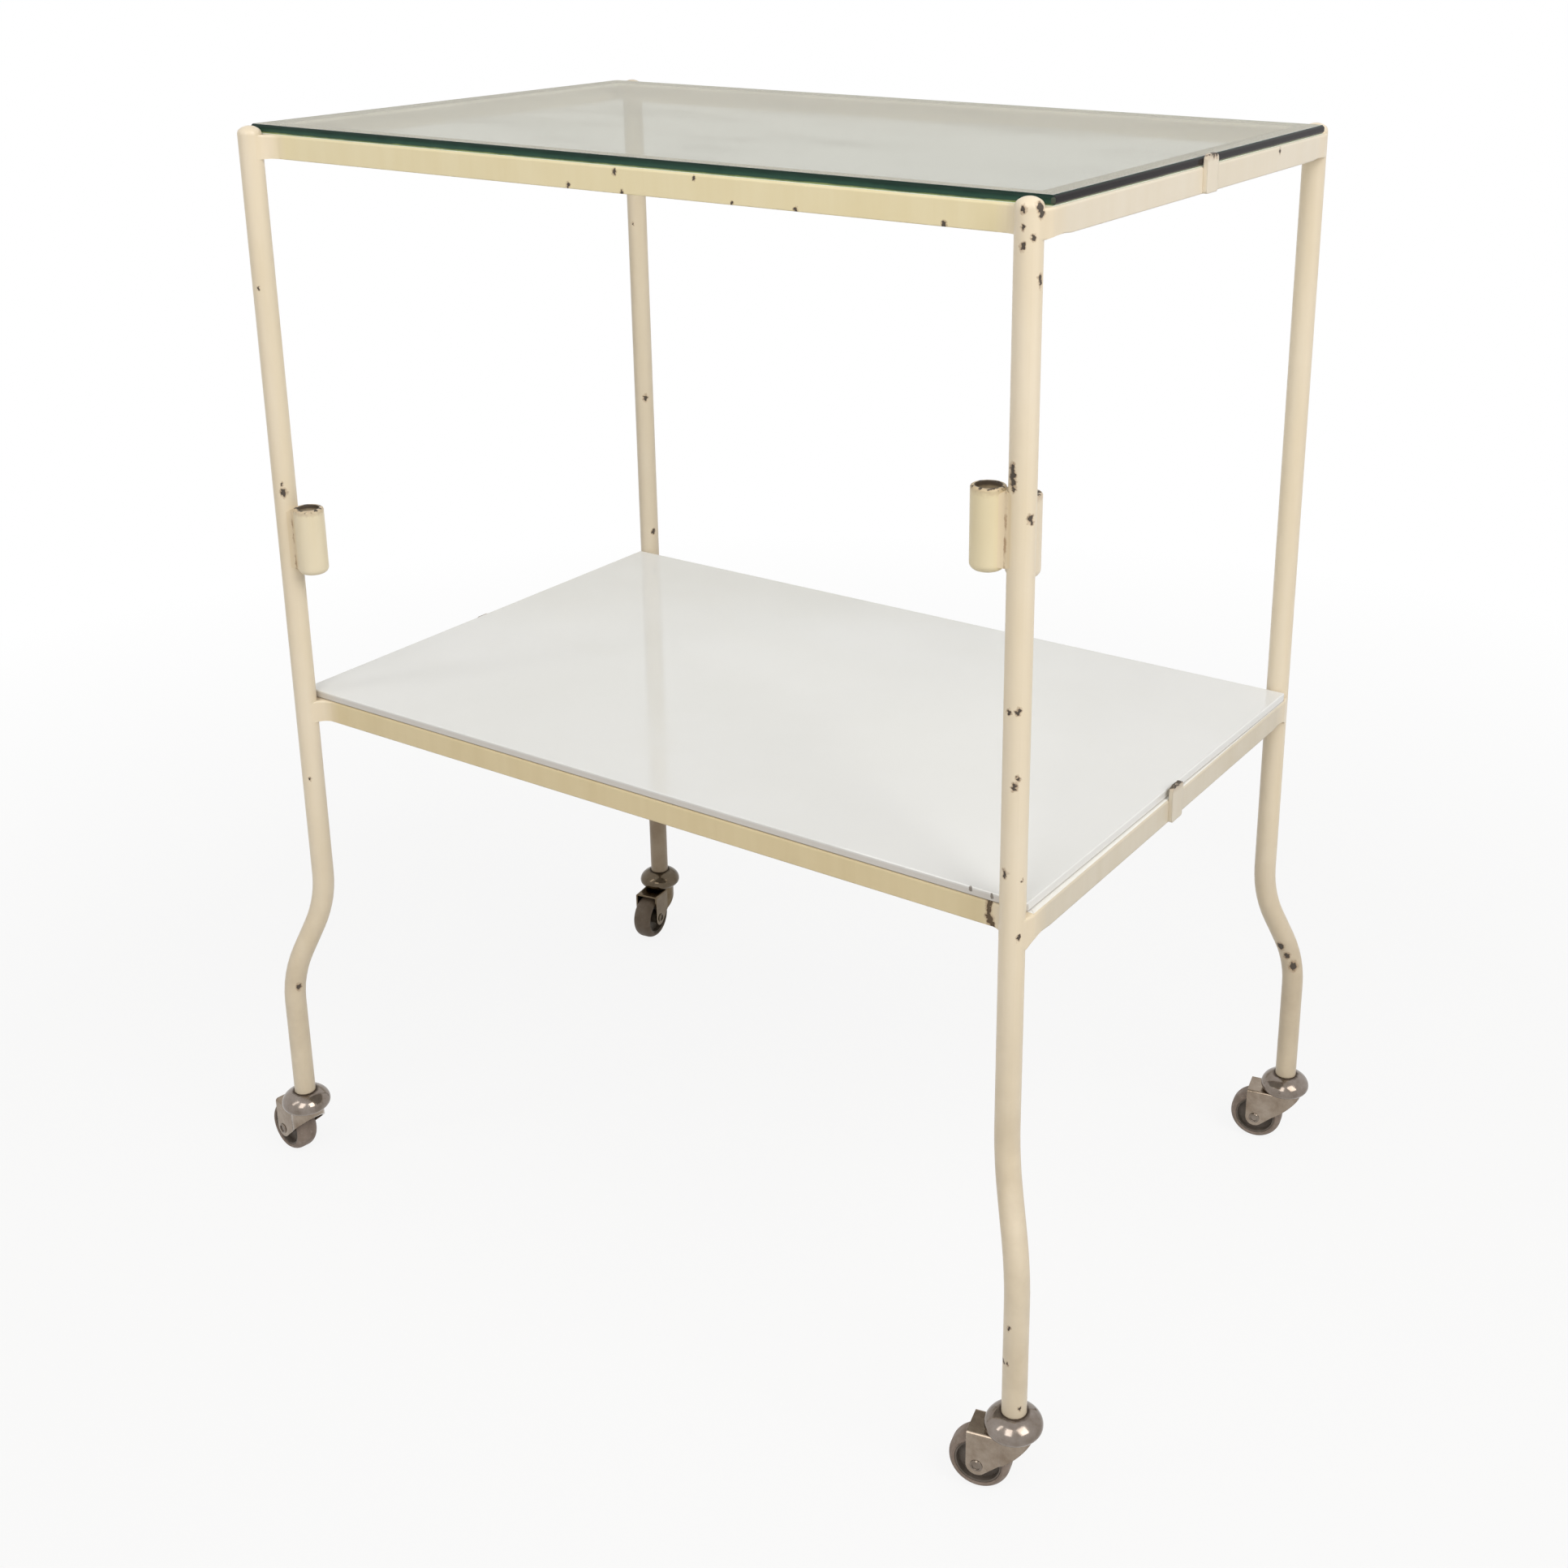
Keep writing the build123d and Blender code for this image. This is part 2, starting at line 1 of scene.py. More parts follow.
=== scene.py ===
import bpy
import math
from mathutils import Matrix, Quaternion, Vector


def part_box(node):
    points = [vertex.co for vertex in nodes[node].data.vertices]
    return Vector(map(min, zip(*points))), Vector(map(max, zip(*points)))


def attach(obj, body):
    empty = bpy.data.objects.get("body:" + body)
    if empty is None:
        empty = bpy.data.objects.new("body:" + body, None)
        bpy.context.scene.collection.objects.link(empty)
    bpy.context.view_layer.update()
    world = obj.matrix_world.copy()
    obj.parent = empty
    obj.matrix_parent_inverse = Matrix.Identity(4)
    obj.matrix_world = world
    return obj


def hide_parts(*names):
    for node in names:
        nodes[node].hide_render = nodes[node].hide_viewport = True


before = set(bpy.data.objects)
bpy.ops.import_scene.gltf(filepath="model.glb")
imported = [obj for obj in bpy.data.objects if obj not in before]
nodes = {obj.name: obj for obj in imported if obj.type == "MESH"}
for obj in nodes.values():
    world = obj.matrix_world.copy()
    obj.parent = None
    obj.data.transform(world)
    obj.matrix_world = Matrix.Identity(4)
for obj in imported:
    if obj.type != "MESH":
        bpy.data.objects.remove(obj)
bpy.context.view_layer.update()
cornerSides = {"front_right": (1, -1), "front_left": (-1, -1), "rear_right": (1, 1), "rear_left": (-1, 1)}
mm = 0.001
print("frame loaded:", len(nodes), "nodes")

# camera, at the place the photograph was taken from
cameraSet = {
    "place": (0.8067, -1.1106, 0.9596),
    "azimuth": 33.196,
    "elevation": 18.629,
    "roll": -0.08,
    "lens": 45.585,
    "sensor": 36,
    "shift": (-0.05494, -0.14414),
    "clip": (0.01, 60),
}


def addCamera(spec):
    turn = math.radians(spec["azimuth"])
    tilt = math.radians(spec["elevation"])
    looking = Vector((-math.sin(turn) * math.cos(tilt), math.cos(turn) * math.cos(tilt), -math.sin(tilt)))
    bpy.ops.object.select_all(action="DESELECT")
    bpy.ops.object.camera_add(location=spec["place"])
    camera = bpy.context.object
    camera.rotation_mode = "QUATERNION"
    level = looking.to_track_quat("-Z", "Y")
    camera.rotation_quaternion = level @ Quaternion((0, 0, 1), math.radians(spec["roll"]))
    camera.data.sensor_width = spec["sensor"]
    camera.data.lens = spec["lens"]
    camera.data.shift_x, camera.data.shift_y = spec["shift"]
    camera.data.clip_start, camera.data.clip_end = spec["clip"]
    bpy.context.scene.camera = camera


addCamera(cameraSet)
print("camera placed")


# helpers for node trees
def plug(tree, socket, value):
    # a socket takes another node's output or a plain value
    if isinstance(value, bpy.types.NodeSocket):
        tree.links.new(value, socket)
    else:
        socket.default_value = value


def addNode(tree, kind, links=None, **values):
    node = tree.nodes.new("ShaderNode" + kind)
    for key, value in values.items():
        setattr(node, key, value)
    for key, value in (links or {}).items():
        plug(tree, node.inputs[key], value)
    return node


def emptyTree(block):
    block.use_nodes = True
    block.node_tree.nodes.clear()
    return block.node_tree


def sums(tree, operation, first, second):
    return addNode(tree, "Math", {0: first, 1: second}, operation=operation).outputs[0]


def times(tree, first, second):
    return sums(tree, "MULTIPLY", first, second)


def larger(tree, first, second):
    return sums(tree, "MAXIMUM", first, second)


def vectors(tree, operation, first, second=(0, 0, 0)):
    node = addNode(tree, "VectorMath", {0: first, 1: second}, operation=operation)
    single = operation in ("DISTANCE", "DOT_PRODUCT", "LENGTH")
    return node.outputs["Value" if single else "Vector"]


def limits(tree, value, low, high, toLow=0.0, toHigh=1.0):
    spec = {"Value": value, "From Min": low, "From Max": high, "To Min": toLow, "To Max": toHigh}
    return addNode(tree, "MapRange", spec).outputs["Result"]


def seenRays(tree):
    # camera, glossy and transmission rays all see the white surroundings
    rays = addNode(tree, "LightPath").outputs
    both = larger(tree, rays["Is Camera Ray"], rays["Is Glossy Ray"])
    return larger(tree, both, rays["Is Transmission Ray"])


# studio: white paper on the floor and soft light from three tall windows
studio = {
    "floorSize": 9.0,
    "paper": (0.66, 0.65, 0.63, 1),
    "paperGlow": 0.88,
    "shadowReach": (0.7, 1.6),
    "white": (1, 1, 1, 1),
    "worldTint": (1.0, 0.99, 0.97, 1),
    "worldGlow": 0.42,
    "lampTint": (1.0, 0.985, 0.96),
}


def addFloor(spec):
    bpy.ops.object.select_all(action="DESELECT")
    bpy.ops.mesh.primitive_plane_add(size=spec["floorSize"], location=(0, 0, 0))
    floor = bpy.context.object
    floor.name = "paperFloor"
    bpy.ops.object.mode_set(mode="EDIT")
    bpy.ops.mesh.subdivide(number_cuts=2)
    bpy.ops.object.mode_set(mode="OBJECT")
    paper = bpy.data.materials.new("studioPaper")
    tree = emptyTree(paper)
    matt = addNode(tree, "BsdfDiffuse", {"Color": spec["paper"]})
    glow = addNode(tree, "Emission", {"Color": spec["white"], "Strength": 1.0})
    # white by itself where it is seen, with the shadow kept near the trolley
    away = vectors(tree, "LENGTH", addNode(tree, "TexCoord").outputs["Object"])
    fade = limits(tree, away, *spec["shadowReach"], spec["paperGlow"], 1.0)
    share = times(tree, seenRays(tree), fade)
    blend = addNode(tree, "MixShader", {0: share, 1: matt.outputs[0], 2: glow.outputs[0]})
    addNode(tree, "OutputMaterial", {"Surface": blend.outputs[0]})
    floor.data.materials.append(paper)


def addWorld(spec):
    world = bpy.data.worlds.new("studioWorld")
    bpy.context.scene.world = world
    tree = emptyTree(world)
    white = addNode(tree, "Background", {"Color": spec["white"], "Strength": 1.0})
    soft = addNode(tree, "Background", {"Color": spec["worldTint"], "Strength": spec["worldGlow"]})
    blend = addNode(tree, "MixShader", {0: seenRays(tree), 1: soft.outputs[0], 2: white.outputs[0]})
    addNode(tree, "OutputWorld", {"Surface": blend.outputs[0]})


lamps = {
    "windowRight": {"place": (2.16, -0.54, 2.36), "aim": (0, 0, 0.35), "size": (1.50, 1.95), "power": 42},
    "windowMiddle": {"place": (0.47, -2.18, 2.36), "aim": (0, 0, 0.35), "size": (1.17, 1.95), "power": 21},
    "windowLeft": {"place": (-1.25, -1.85, 2.36), "aim": (0, 0, 0.35), "size": (0.42, 1.70), "power": 6},
}
# grey board hung behind the trolley, seen in reflections only
boardSet = {"place": (-1.80, 2.50, 1.14), "size": (3.6, 0.62), "turn": 36.0, "grey": (0.69, 0.665, 0.59, 1)}


def addBoard(spec):
    bpy.ops.object.select_all(action="DESELECT")
    bpy.ops.mesh.primitive_plane_add(size=1, location=(0, 0, 0))
    board = bpy.context.object
    board.name = "greyBoard"
    board.scale = (*spec["size"], 1)
    board.rotation_euler = (math.radians(90), 0, math.radians(spec["turn"]))
    board.location = spec["place"]
    bpy.ops.object.mode_set(mode="EDIT")
    bpy.ops.mesh.subdivide(number_cuts=1)
    bpy.ops.object.mode_set(mode="OBJECT")
    card = bpy.data.materials.new("boardGrey")
    tree = emptyTree(card)
    glow = addNode(tree, "Emission", {"Color": spec["grey"], "Strength": 1.0})
    addNode(tree, "OutputMaterial", {"Surface": glow.outputs[0]})
    board.data.materials.append(card)
    board.visible_camera = False
    board.visible_diffuse = False
    board.visible_shadow = False
    board.visible_transmission = False


def addLamp(name, spec):
    bpy.ops.object.select_all(action="DESELECT")
    bpy.ops.object.light_add(type="AREA", location=spec["place"])
    lamp = bpy.context.object
    lamp.name = name
    lamp.data.shape = "RECTANGLE"
    lamp.data.size, lamp.data.size_y = spec["size"]
    lamp.data.energy = spec["power"]
    lamp.data.color = studio["lampTint"]
    lamp.visible_camera = False
    lamp.rotation_mode = "QUATERNION"
    lamp.rotation_quaternion = (Vector(spec["aim"]) - Vector(spec["place"])).to_track_quat("-Z", "Y")


addFloor(studio)
addWorld(studio)
addBoard(boardSet)
bpy.context.scene.view_settings.view_transform = "Standard"
for lampName, lampSpec in lamps.items():
    addLamp(lampName, lampSpec)
print("studio set")


# helpers for the finishes
def newFinish(name):
    finish = bpy.data.materials.new(name)
    finish.use_nodes = True
    tree = finish.node_tree
    return finish, tree, tree.nodes["Principled BSDF"], addNode(tree, "TexCoord").outputs["Object"]


def feed(tree, shader, **sockets):
    for name, value in sockets.items():
        plug(tree, shader.inputs[name.replace("_", " ")], value)


def drawnOut(tree, point, scale):
    return addNode(tree, "Mapping", {"Vector": point, "Scale": scale}).outputs["Vector"]


def noise(tree, point, spec):
    # a cloudy pattern, drawn out where its entry says so
    if "stretch" in spec:
        point = drawnOut(tree, point, spec["stretch"])
    rough = spec.get("rough", 0.55)
    links = {"Vector": point, "Scale": spec["scale"], "Detail": spec["detail"], "Roughness": rough}
    return addNode(tree, "TexNoise", links).outputs["Fac"]


def clouds(tree, point, spec, to=(0.0, 1.0)):
    return limits(tree, noise(tree, point, spec), *spec["span"], *to)


def tints(tree, share, first, second):
    node = addNode(tree, "Mix", {0: share}, data_type="RGBA")
    for key, value in ((6, first), (7, second)):
        plug(tree, node.inputs[key], value if isinstance(value, bpy.types.NodeSocket) else (*value, 1))
    return node.outputs[2]


def relief(tree, height, depth, strength, under=None):
    spec = {"Height": height, "Distance": depth, "Strength": strength}
    if under is not None:
        spec["Normal"] = under
    return addNode(tree, "Bump", spec).outputs["Normal"]


def bumps(tree, point, spec, under=None):
    return relief(tree, noise(tree, point, spec), spec["depth"], spec["strength"], under)


def rounded(tree, radius):
    # the normal of a piece whose edges are rounded over
    return addNode(tree, "Bevel", {"Radius": radius}, samples=4).outputs["Normal"]


def ragged(tree, point, scale, reach):
    # the point pushed about by a fine pattern, so that chips get torn outlines
    wobble = addNode(tree, "TexNoise", {"Vector": point, "Scale": scale, "Detail": 3.0}).outputs["Color"]
    centred = vectors(tree, "SUBTRACT", wobble, (0.5, 0.5, 0.5))
    spec = {0: centred, 1: (reach, reach, reach), 2: point}
    return addNode(tree, "VectorMath", spec, operation="MULTIPLY_ADD").outputs["Vector"]


def heightOf(tree, point):
    return addNode(tree, "SeparateXYZ", {0: point}).outputs["Z"]


def folded(tree, point, middle):
    # distances from a middle along each axis, without their signs
    return vectors(tree, "ABSOLUTE", vectors(tree, "SUBTRACT", point, middle))


def levelDistance(tree, point, axis):
    # distance from an upright line
    return vectors(tree, "DISTANCE", vectors(tree, "MULTIPLY", point, (1, 1, 0)), (*axis, 0))


def coat(piece, finish):
    piece.data.materials.clear()
    piece.data.materials.append(finish)


def dress(node, finish):
    coat(nodes[node], finish)


# enamel: thick cream paint, yellowed in patches, chipped to dark steel with rusty rims
enamelSet = {
    "cream": (0.84, 0.735, 0.575),
    "yellowed": (0.79, 0.67, 0.48),
    "patch": {"scale": 11, "detail": 5, "span": (0.34, 0.70)},
    "streak": {"scale": 1, "detail": 3, "span": (0.35, 0.75), "stretch": (90, 90, 9)},
    "gloss": (0.285, 0.42),
    "dull": {"scale": 70, "detail": 4, "span": (0.3, 0.7)},
    "waves": {"scale": 46, "detail": 2, "depth": 0.0004, "strength": 0.25},
    "peel": {"scale": 420, "detail": 2, "depth": 0.00006, "strength": 0.12},
    # painted light given to the upward faces of the rails
    "paintedTopLight": (0.93, 0.92, 0.88),
    "paintedTopSpan": (0.9, 0.97),
    "bare": (0.072, 0.055, 0.040),
    "bareDull": 0.62,
    "bareDepth": 0.00022,
    "bareStrength": 0.8,
    "rust": (0.34, 0.20, 0.10),
    "torn": (430, 0.0046),  # scale and reach
    "chipTall": (1.0, 1.0, 0.72),
    "chipSpan": (0.85, 1.05),
    "chipStain": {"span": (0.9, 1.7), "share": 0.75},
    "frayed": (700, 0.0014),
    "speckCells": 62.0,
    "speckShare": 0.06,
    "speckSpan": (0.036, 0.060),
    "speckStain": {"span": (0.05, 0.16), "share": 0.5},
    "rub": {"scale": 210, "detail": 3},
    "rubFrom": 0.50,
    "rubWidth": 0.06,
    "rubFade": 0.0007,
    "rubStain": {"span": (-0.0035, 0.0005), "share": 0.45},
    "edgeShare": 0.55,
    "edgeReach": 0.0011,
    "edgeLean": (0.975, 0.86),
    "edgeRub": {"scale": 75, "detail": 5, "rough": 0.7, "span": (0.58, 0.67)},
    # darker towards the foot: dirt, and painted shade below the shelf
    "grimeShadeColour": (0.42, 0.33, 0.22),
    "grimeShadeThin": 0.25,
    "grimeShadeThick": 0.60,
    "grimeShadeFade": 0.14,
    "grimeShadeFilm": {"scale": 34, "detail": 6, "span": (0.3, 0.7)},
    # painted shade line in the crease where a weld meets a leg
    "seamTorn": (330, 0.0016),
    "seamFade": 0.0003,
    "seamBreaks": {"scale": 150, "detail": 3, "span": (0.40, 0.56)},
    "seamShade": (0.12, 0.75),
    "boreDark": (0.12, 0.082, 0.053),
    "borePale": (0.38, 0.275, 0.17),
    "boreRust": {"scale": 160, "detail": 4, "span": (0.4, 0.62)},
    "boreFade": 0.0003,
    "boreOver": 0.0002,
    "mouthTorn": (300, 0.0012),
    "mouthOver": 0.0007,
    "mouthDepth": (0.0034, 0.0022),
    "mouthShare": 0.85,
}

# legs: where their axes stand beside the rails, and how they step outwards near the foot
endLow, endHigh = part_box("top_rail_right")
middleX = (endHigh[0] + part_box("top_rail_left")[0][0]) / 2
legSet = {
    "radius": 0.008,
    "endFace": 0.010,  # end rails, outside the axes
    "longFace": 0.0082,  # long rails, inside the axes
    "step": 0.02107,
    "stepFrom": 0.2475,
    "stepTo": 0.1412,
    "weldReach": (0.013, 0.027),
}
legSpacing = (endHigh[0] - middleX - legSet["endFace"], legSet["longFace"] - endLow[1])


def legAxis(sideX, sideY):
    return sideX * legSpacing[0] + middleX, sideY * legSpacing[1]


def legDistance(tree, point):
    # level distance to the nearest of the four leg axes
    return levelDistance(tree, folded(tree, point, (middleX, 0, 0)), legSpacing)


def chipField(tree, point, chips, tall):
    # below 1 inside a chip, rising outwards; chips are taller than wide
    flat = drawnOut(tree, point, tall)
    nearest = None
    for place, size in chips:
        middle = tuple(part * share for part, share in zip(place, tall))
        share = sums(tree, "DIVIDE", vectors(tree, "DISTANCE", flat, middle), size)
        nearest = share if nearest is None else sums(tree, "MINIMUM", nearest, share)
    return nearest


def boreShare(tree, point, bore, over, fade):
    # 1 inside a socket's hole made wider by over, 0 outside
    reach = bore["radius"] + over
    return limits(tree, levelDistance(tree, point, bore["axis"]), reach, reach - fade)


def paintColour(tree, point, spec, offLeg, paintedTopLight):
    # cream with yellowed patches and streaks
    blotches = sums(tree, "ADD", clouds(tree, point, spec["patch"]), clouds(tree, point, spec["streak"]))
    age = times(tree, blotches, 0.5)
    paint = tints(tree, age, spec["cream"], spec["yellowed"])
    if offLeg is not None:
        # the legs' cream runs on to the other pieces where they are welded
        legPaint = tints(tree, age, enamelSet["cream"], enamelSet["yellowed"])
        paint = tints(tree, offLeg, legPaint, paint)
    if paintedTopLight:
        # painted light: paler on faces turned upwards, so that the flange seen through the plate looks lit
        upright = heightOf(tree, addNode(tree, "NewGeometry").outputs["True Normal"])
        paint = tints(tree, limits(tree, upright, *spec["paintedTopSpan"]), paint, spec["paintedTopLight"])
    return paint


def speckMarks(tree, point, spec):
    # a few cells of a scattered pattern, each with one small mark
    frayed = ragged(tree, point, *spec["frayed"])
    cells = addNode(tree, "TexVoronoi", {"Vector": frayed, "Scale": spec["speckCells"]}).outputs
    chosen = sums(tree, "LESS_THAN", cells["Color"], spec["speckShare"])
    bare = limits(tree, cells["Distance"], *spec["speckSpan"], 1, 0)
    stain = limits(tree, cells["Distance"], *spec["speckStain"]["span"], spec["speckStain"]["share"], 0)
    return times(tree, chosen, bare), times(tree, chosen, stain)


def chipMarks(tree, torn, spec, chips):
    field = chipField(tree, torn, chips, spec["chipTall"])
    bare = limits(tree, field, *spec["chipSpan"], 1, 0)
    return bare, limits(tree, field, *spec["chipStain"]["span"], spec["chipStain"]["share"], 0)


def rubMarks(tree, point, torn, spec, wornAbove):
    # a top edge rubbed down in spots, brown just below
    rise = sums(tree, "SUBTRACT", heightOf(tree, torn), wornAbove)
    spots = noise(tree, point, spec["rub"])
    spots = limits(tree, spots, spec["rubFrom"], spec["rubFrom"] + spec["rubWidth"])
    bare = times(tree, limits(tree, rise, 0.0, spec["rubFade"]), spots)
    return bare, limits(tree, rise, *spec["rubStain"]["span"], 0, spec["rubStain"]["share"])


def seamShade(tree, point, spec, seam):
    # painted shade: a brown line in the crease where the weld meets the leg, broken here and there
    away = legDistance(tree, ragged(tree, point, *spec["seamTorn"]))
    starts = limits(tree, away, seam[0] - spec["seamFade"], seam[0])
    ends = limits(tree, away, seam[1], seam[1] + spec["seamFade"], 1, 0)
    return times(tree, times(tree, starts, ends), clouds(tree, point, spec["seamBreaks"], spec["seamShade"]))


def edgeWear(tree, point, spec, soft, offLeg):
    # rubbed edges, found where the rounded normal leaves the true one
    lean = vectors(tree, "DOT_PRODUCT", soft, addNode(tree, "NewGeometry").outputs["True Normal"])
    edge = times(tree, limits(tree, lean, *spec["edgeLean"]), clouds(tree, point, spec["edgeRub"]))
    edge = times(tree, edge, spec["edgeShare"])
    return edge if offLeg is None else times(tree, edge, offLeg)


def grimedAndShaded(tree, point, spec, paint, grimeShadeBelow):
    # darker below a given height, in cloudy patches: dirt, and painted shade under the shelf
    depth = limits(tree, heightOf(tree, point), grimeShadeBelow, grimeShadeBelow - spec["grimeShadeFade"])
    film = clouds(tree, point, spec["grimeShadeFilm"], (spec["grimeShadeThin"], spec["grimeShadeThick"]))
    return tints(tree, times(tree, depth, film), paint, spec["grimeShadeColour"])


def rustedBore(tree, point, spec, paint, bore):
    # the hole was never painted and has rusted, darkest round its mouth
    rusty = tints(tree, clouds(tree, point, spec["boreRust"]), spec["boreDark"], spec["borePale"])
    within = boreShare(tree, point, bore, spec["boreOver"], spec["boreFade"])
    start, end = (bore["rim"] - depth for depth in spec["mouthDepth"])
    near = ragged(tree, point, *spec["mouthTorn"])
    mouth = boreShare(tree, near, bore, spec["mouthOver"], spec["boreFade"])
    mouth = times(tree, limits(tree, heightOf(tree, point), start, end), mouth)
    paint = tints(tree, within, paint, rusty)
    return tints(tree, times(tree, mouth, spec["mouthShare"]), paint, spec["bare"])


def enamel(name, chips=(), wornAbove=None, grimeShadeBelow=None, bore=None, seam=None, paintedTopLight=False, onLeg=True,
           **changes):
    spec = {**enamelSet, **changes}
    finish, tree, shader, point = newFinish(name)
    torn = ragged(tree, point, *spec["torn"])
    offLeg = None if onLeg else limits(tree, legDistance(tree, point), *legSet["weldReach"])
    paint = paintColour(tree, point, spec, offLeg, paintedTopLight)
    # bare steel, and the rusty stains round it
    bare, halo = speckMarks(tree, point, spec)
    if chips:
        chipped, stain = chipMarks(tree, torn, spec, chips)
        bare, halo = larger(tree, bare, chipped), larger(tree, halo, stain)
    if wornAbove is not None:
        rubbed, stain = rubMarks(tree, point, torn, spec, wornAbove)
        bare, halo = larger(tree, bare, rubbed), larger(tree, halo, stain)
    if seam is not None:
        halo = larger(tree, halo, seamShade(tree, point, spec, seam))
    soft = None
    if spec["edgeReach"] > 0:
        soft = rounded(tree, spec["edgeReach"])
        bare = larger(tree, bare, edgeWear(tree, point, spec, soft, offLeg))
    if grimeShadeBelow is not None:
        paint = grimedAndShaded(tree, point, spec, paint, grimeShadeBelow)
    paint = tints(tree, halo, paint, spec["rust"])
    if bore is not None:
        paint = rustedBore(tree, point, spec, paint, bore)
    feed(tree, shader, Base_Color=tints(tree, bare, paint, spec["bare"]))
    dull = clouds(tree, point, spec["dull"], spec["gloss"])
    feed(tree, shader, Roughness=larger(tree, dull, times(tree, bare, spec["bareDull"])))
    # brushed paint film over the metal, chips lying a little lower
    film = bumps(tree, point, spec["peel"], bumps(tree, point, spec["waves"], soft))
    cover = sums(tree, "SUBTRACT", 1.0, bare)
    feed(tree, shader, Normal=relief(tree, cover, spec["bareDepth"], spec["bareStrength"], film))
    return finish


# chips of the legs by height in mm, direction round the tube in degrees and size in mm
legChips = {
    "front_right": (
        (803, -84, 1.4), (804, -14, 2.2), (801, -8, 1.7), (794, -84, 1.2), (789, -42, 1.2), (784, -83, 1.5),
        (767, -7, 1.5), (764, -6, 1.3), (664, -108, 1.9), (660, -107, 2.1), (656, -104, 1.8),
        (652, -101, 1.3), (636, -26, 1.7), (634, -20, 1.3), (523, -57, 1.5), (522, -98, 1.3),
        (482, -50, 1.2), (477, -69, 1.6), (421, -101, 1.6), (417, -22, 0.9), (380, -34, 1.3),
        (127, -96, 1.2), (100, -100, 1.0), (100, -130, 1.1), (68, -38, 1.1),
    ),
    "front_left": ((553, -49, 2.0), (560, -52, 1.0), (156, -25, 1.9), (700, -70, 1.0), (330, -60, 1.1)),
    "rear_left": ((538, -43, 1.9), (415, -23, 1.6), (690, -80, 1.0)),
    "rear_right": ((179, -97, 2.6), (185, -160, 2.2), (162, -52, 2.7), (171, -75, 2.0), (560, 40, 1.4)),
}
# how each leg darkens below the shelf: dirt, and painted shade
legGrimeAndShade = {
    "front_left": {"grimeShadeBelow": 0.30, "grimeShadeThin": 0.10, "grimeShadeThick": 0.42},
    "front_right": {"grimeShadeBelow": 0.36, "grimeShadeThin": 0.12, "grimeShadeThick": 0.40},
    # painted shade: the rear left leg's cream is darker all over and heavily darkened low down, as it stands
    # in shade
    "rear_left": {"grimeShadeBelow": 0.36, "grimeShadeColour": (0.27, 0.19, 0.115), "grimeShadeThin": 0.7, "grimeShadeThick": 0.95,
                  "cream": (0.70, 0.61, 0.475), "yellowed": (0.65, 0.55, 0.40)},
    "rear_right": {"grimeShadeBelow": 0.30, "grimeShadeThin": 0.30, "grimeShadeThick": 0.62},
}


def legPoint(corner, height, angle):
    # a point on the tube, which steps outwards below the bend
    sideX, sideY = cornerSides[corner]
    share = (legSet["stepFrom"] - height) / (legSet["stepFrom"] - legSet["stepTo"])
    share = min(1.0, max(0.0, share))
    out = legSet["step"] * share * share * (3 - 2 * share)
    turn = math.radians(angle)
    axisX, axisY = legAxis(sideX, sideY)
    placeX = axisX + sideX * out + legSet["radius"] * math.cos(turn)
    placeY = axisY + sideY * out + legSet["radius"] * math.sin(turn)
    return placeX, placeY, height


legPlaces = {}
for corner in cornerSides:
    places = legPlaces[corner] = []
    for high, turn, size in legChips[corner]:
        places.append((legPoint(corner, high * mm, turn), size * mm))
    dress("leg_" + corner, enamel("legEnamel_" + corner, places, **legGrimeAndShade[corner]))
print("legs painted")

# rails: chips by place along the rail and height, both in mm, and size in mm
# painted light and shade: each rail's cream is set lighter, darker or pinker by how the light falls on its
# face, and the shelf's front rail is darkest as painted shade
railLightAndShade = {
    "top_rail_front": {"cream": (0.89, 0.785, 0.52), "yellowed": (0.84, 0.72, 0.44)},
    "shelf_rail_front": {"cream": (0.77, 0.645, 0.40), "yellowed": (0.71, 0.58, 0.34),
                         "bare": (0.105, 0.068, 0.032)},
    "top_rail_right": {"cream": (0.82, 0.74, 0.61), "yellowed": (0.78, 0.69, 0.54)},
    "shelf_rail_right": {"cream": (0.71, 0.64, 0.52), "yellowed": (0.66, 0.58, 0.44)},
}
railLightAndShade["top_rail_left"] = railLightAndShade["top_rail_right"]
railLightAndShade["shelf_rail_left"] = railLightAndShade["shelf_rail_right"]
railChips = {
    "top_rail_front": (
        (13, 800, 1.3), (-24, 789, 1.2), (145, 788, 1.2), (243, 788, 1.4), (18, 788, 1.1), (73, 800, 1.0),
        (100, 788, 1.0),
    ),
    "shelf_rail_front": (
        (279, 389, 1.6), (279, 387, 1.6), (278.7, 384, 1.6), (278.8, 381, 1.7), (280, 378, 2.2),
        (281.5, 376, 1.9),
    ),
    "top_rail_right": ((113, 800, 1.4),),
}
railPlaces = {}
for level in ("top", "shelf"):
    for side in ("front", "rear", "left", "right"):
        name = f"{level}_rail_{side}"
        places = railPlaces[name] = []
        for along, high, size in railChips.get(name, ()):
            if side == "front":
                place = (along * mm + middleX, endLow[1], high * mm)
            else:
                place = (endHigh[0], along * mm, high * mm)
            places.append((place, size * mm))
        # rails get painted light on their upper faces, and their own painted light and shade
        finish = enamel("railEnamel_" + name, places, onLeg=False, paintedTopLight=True, **railLightAndShade.get(name, {}))
        dress(name, finish)
print("rails painted")

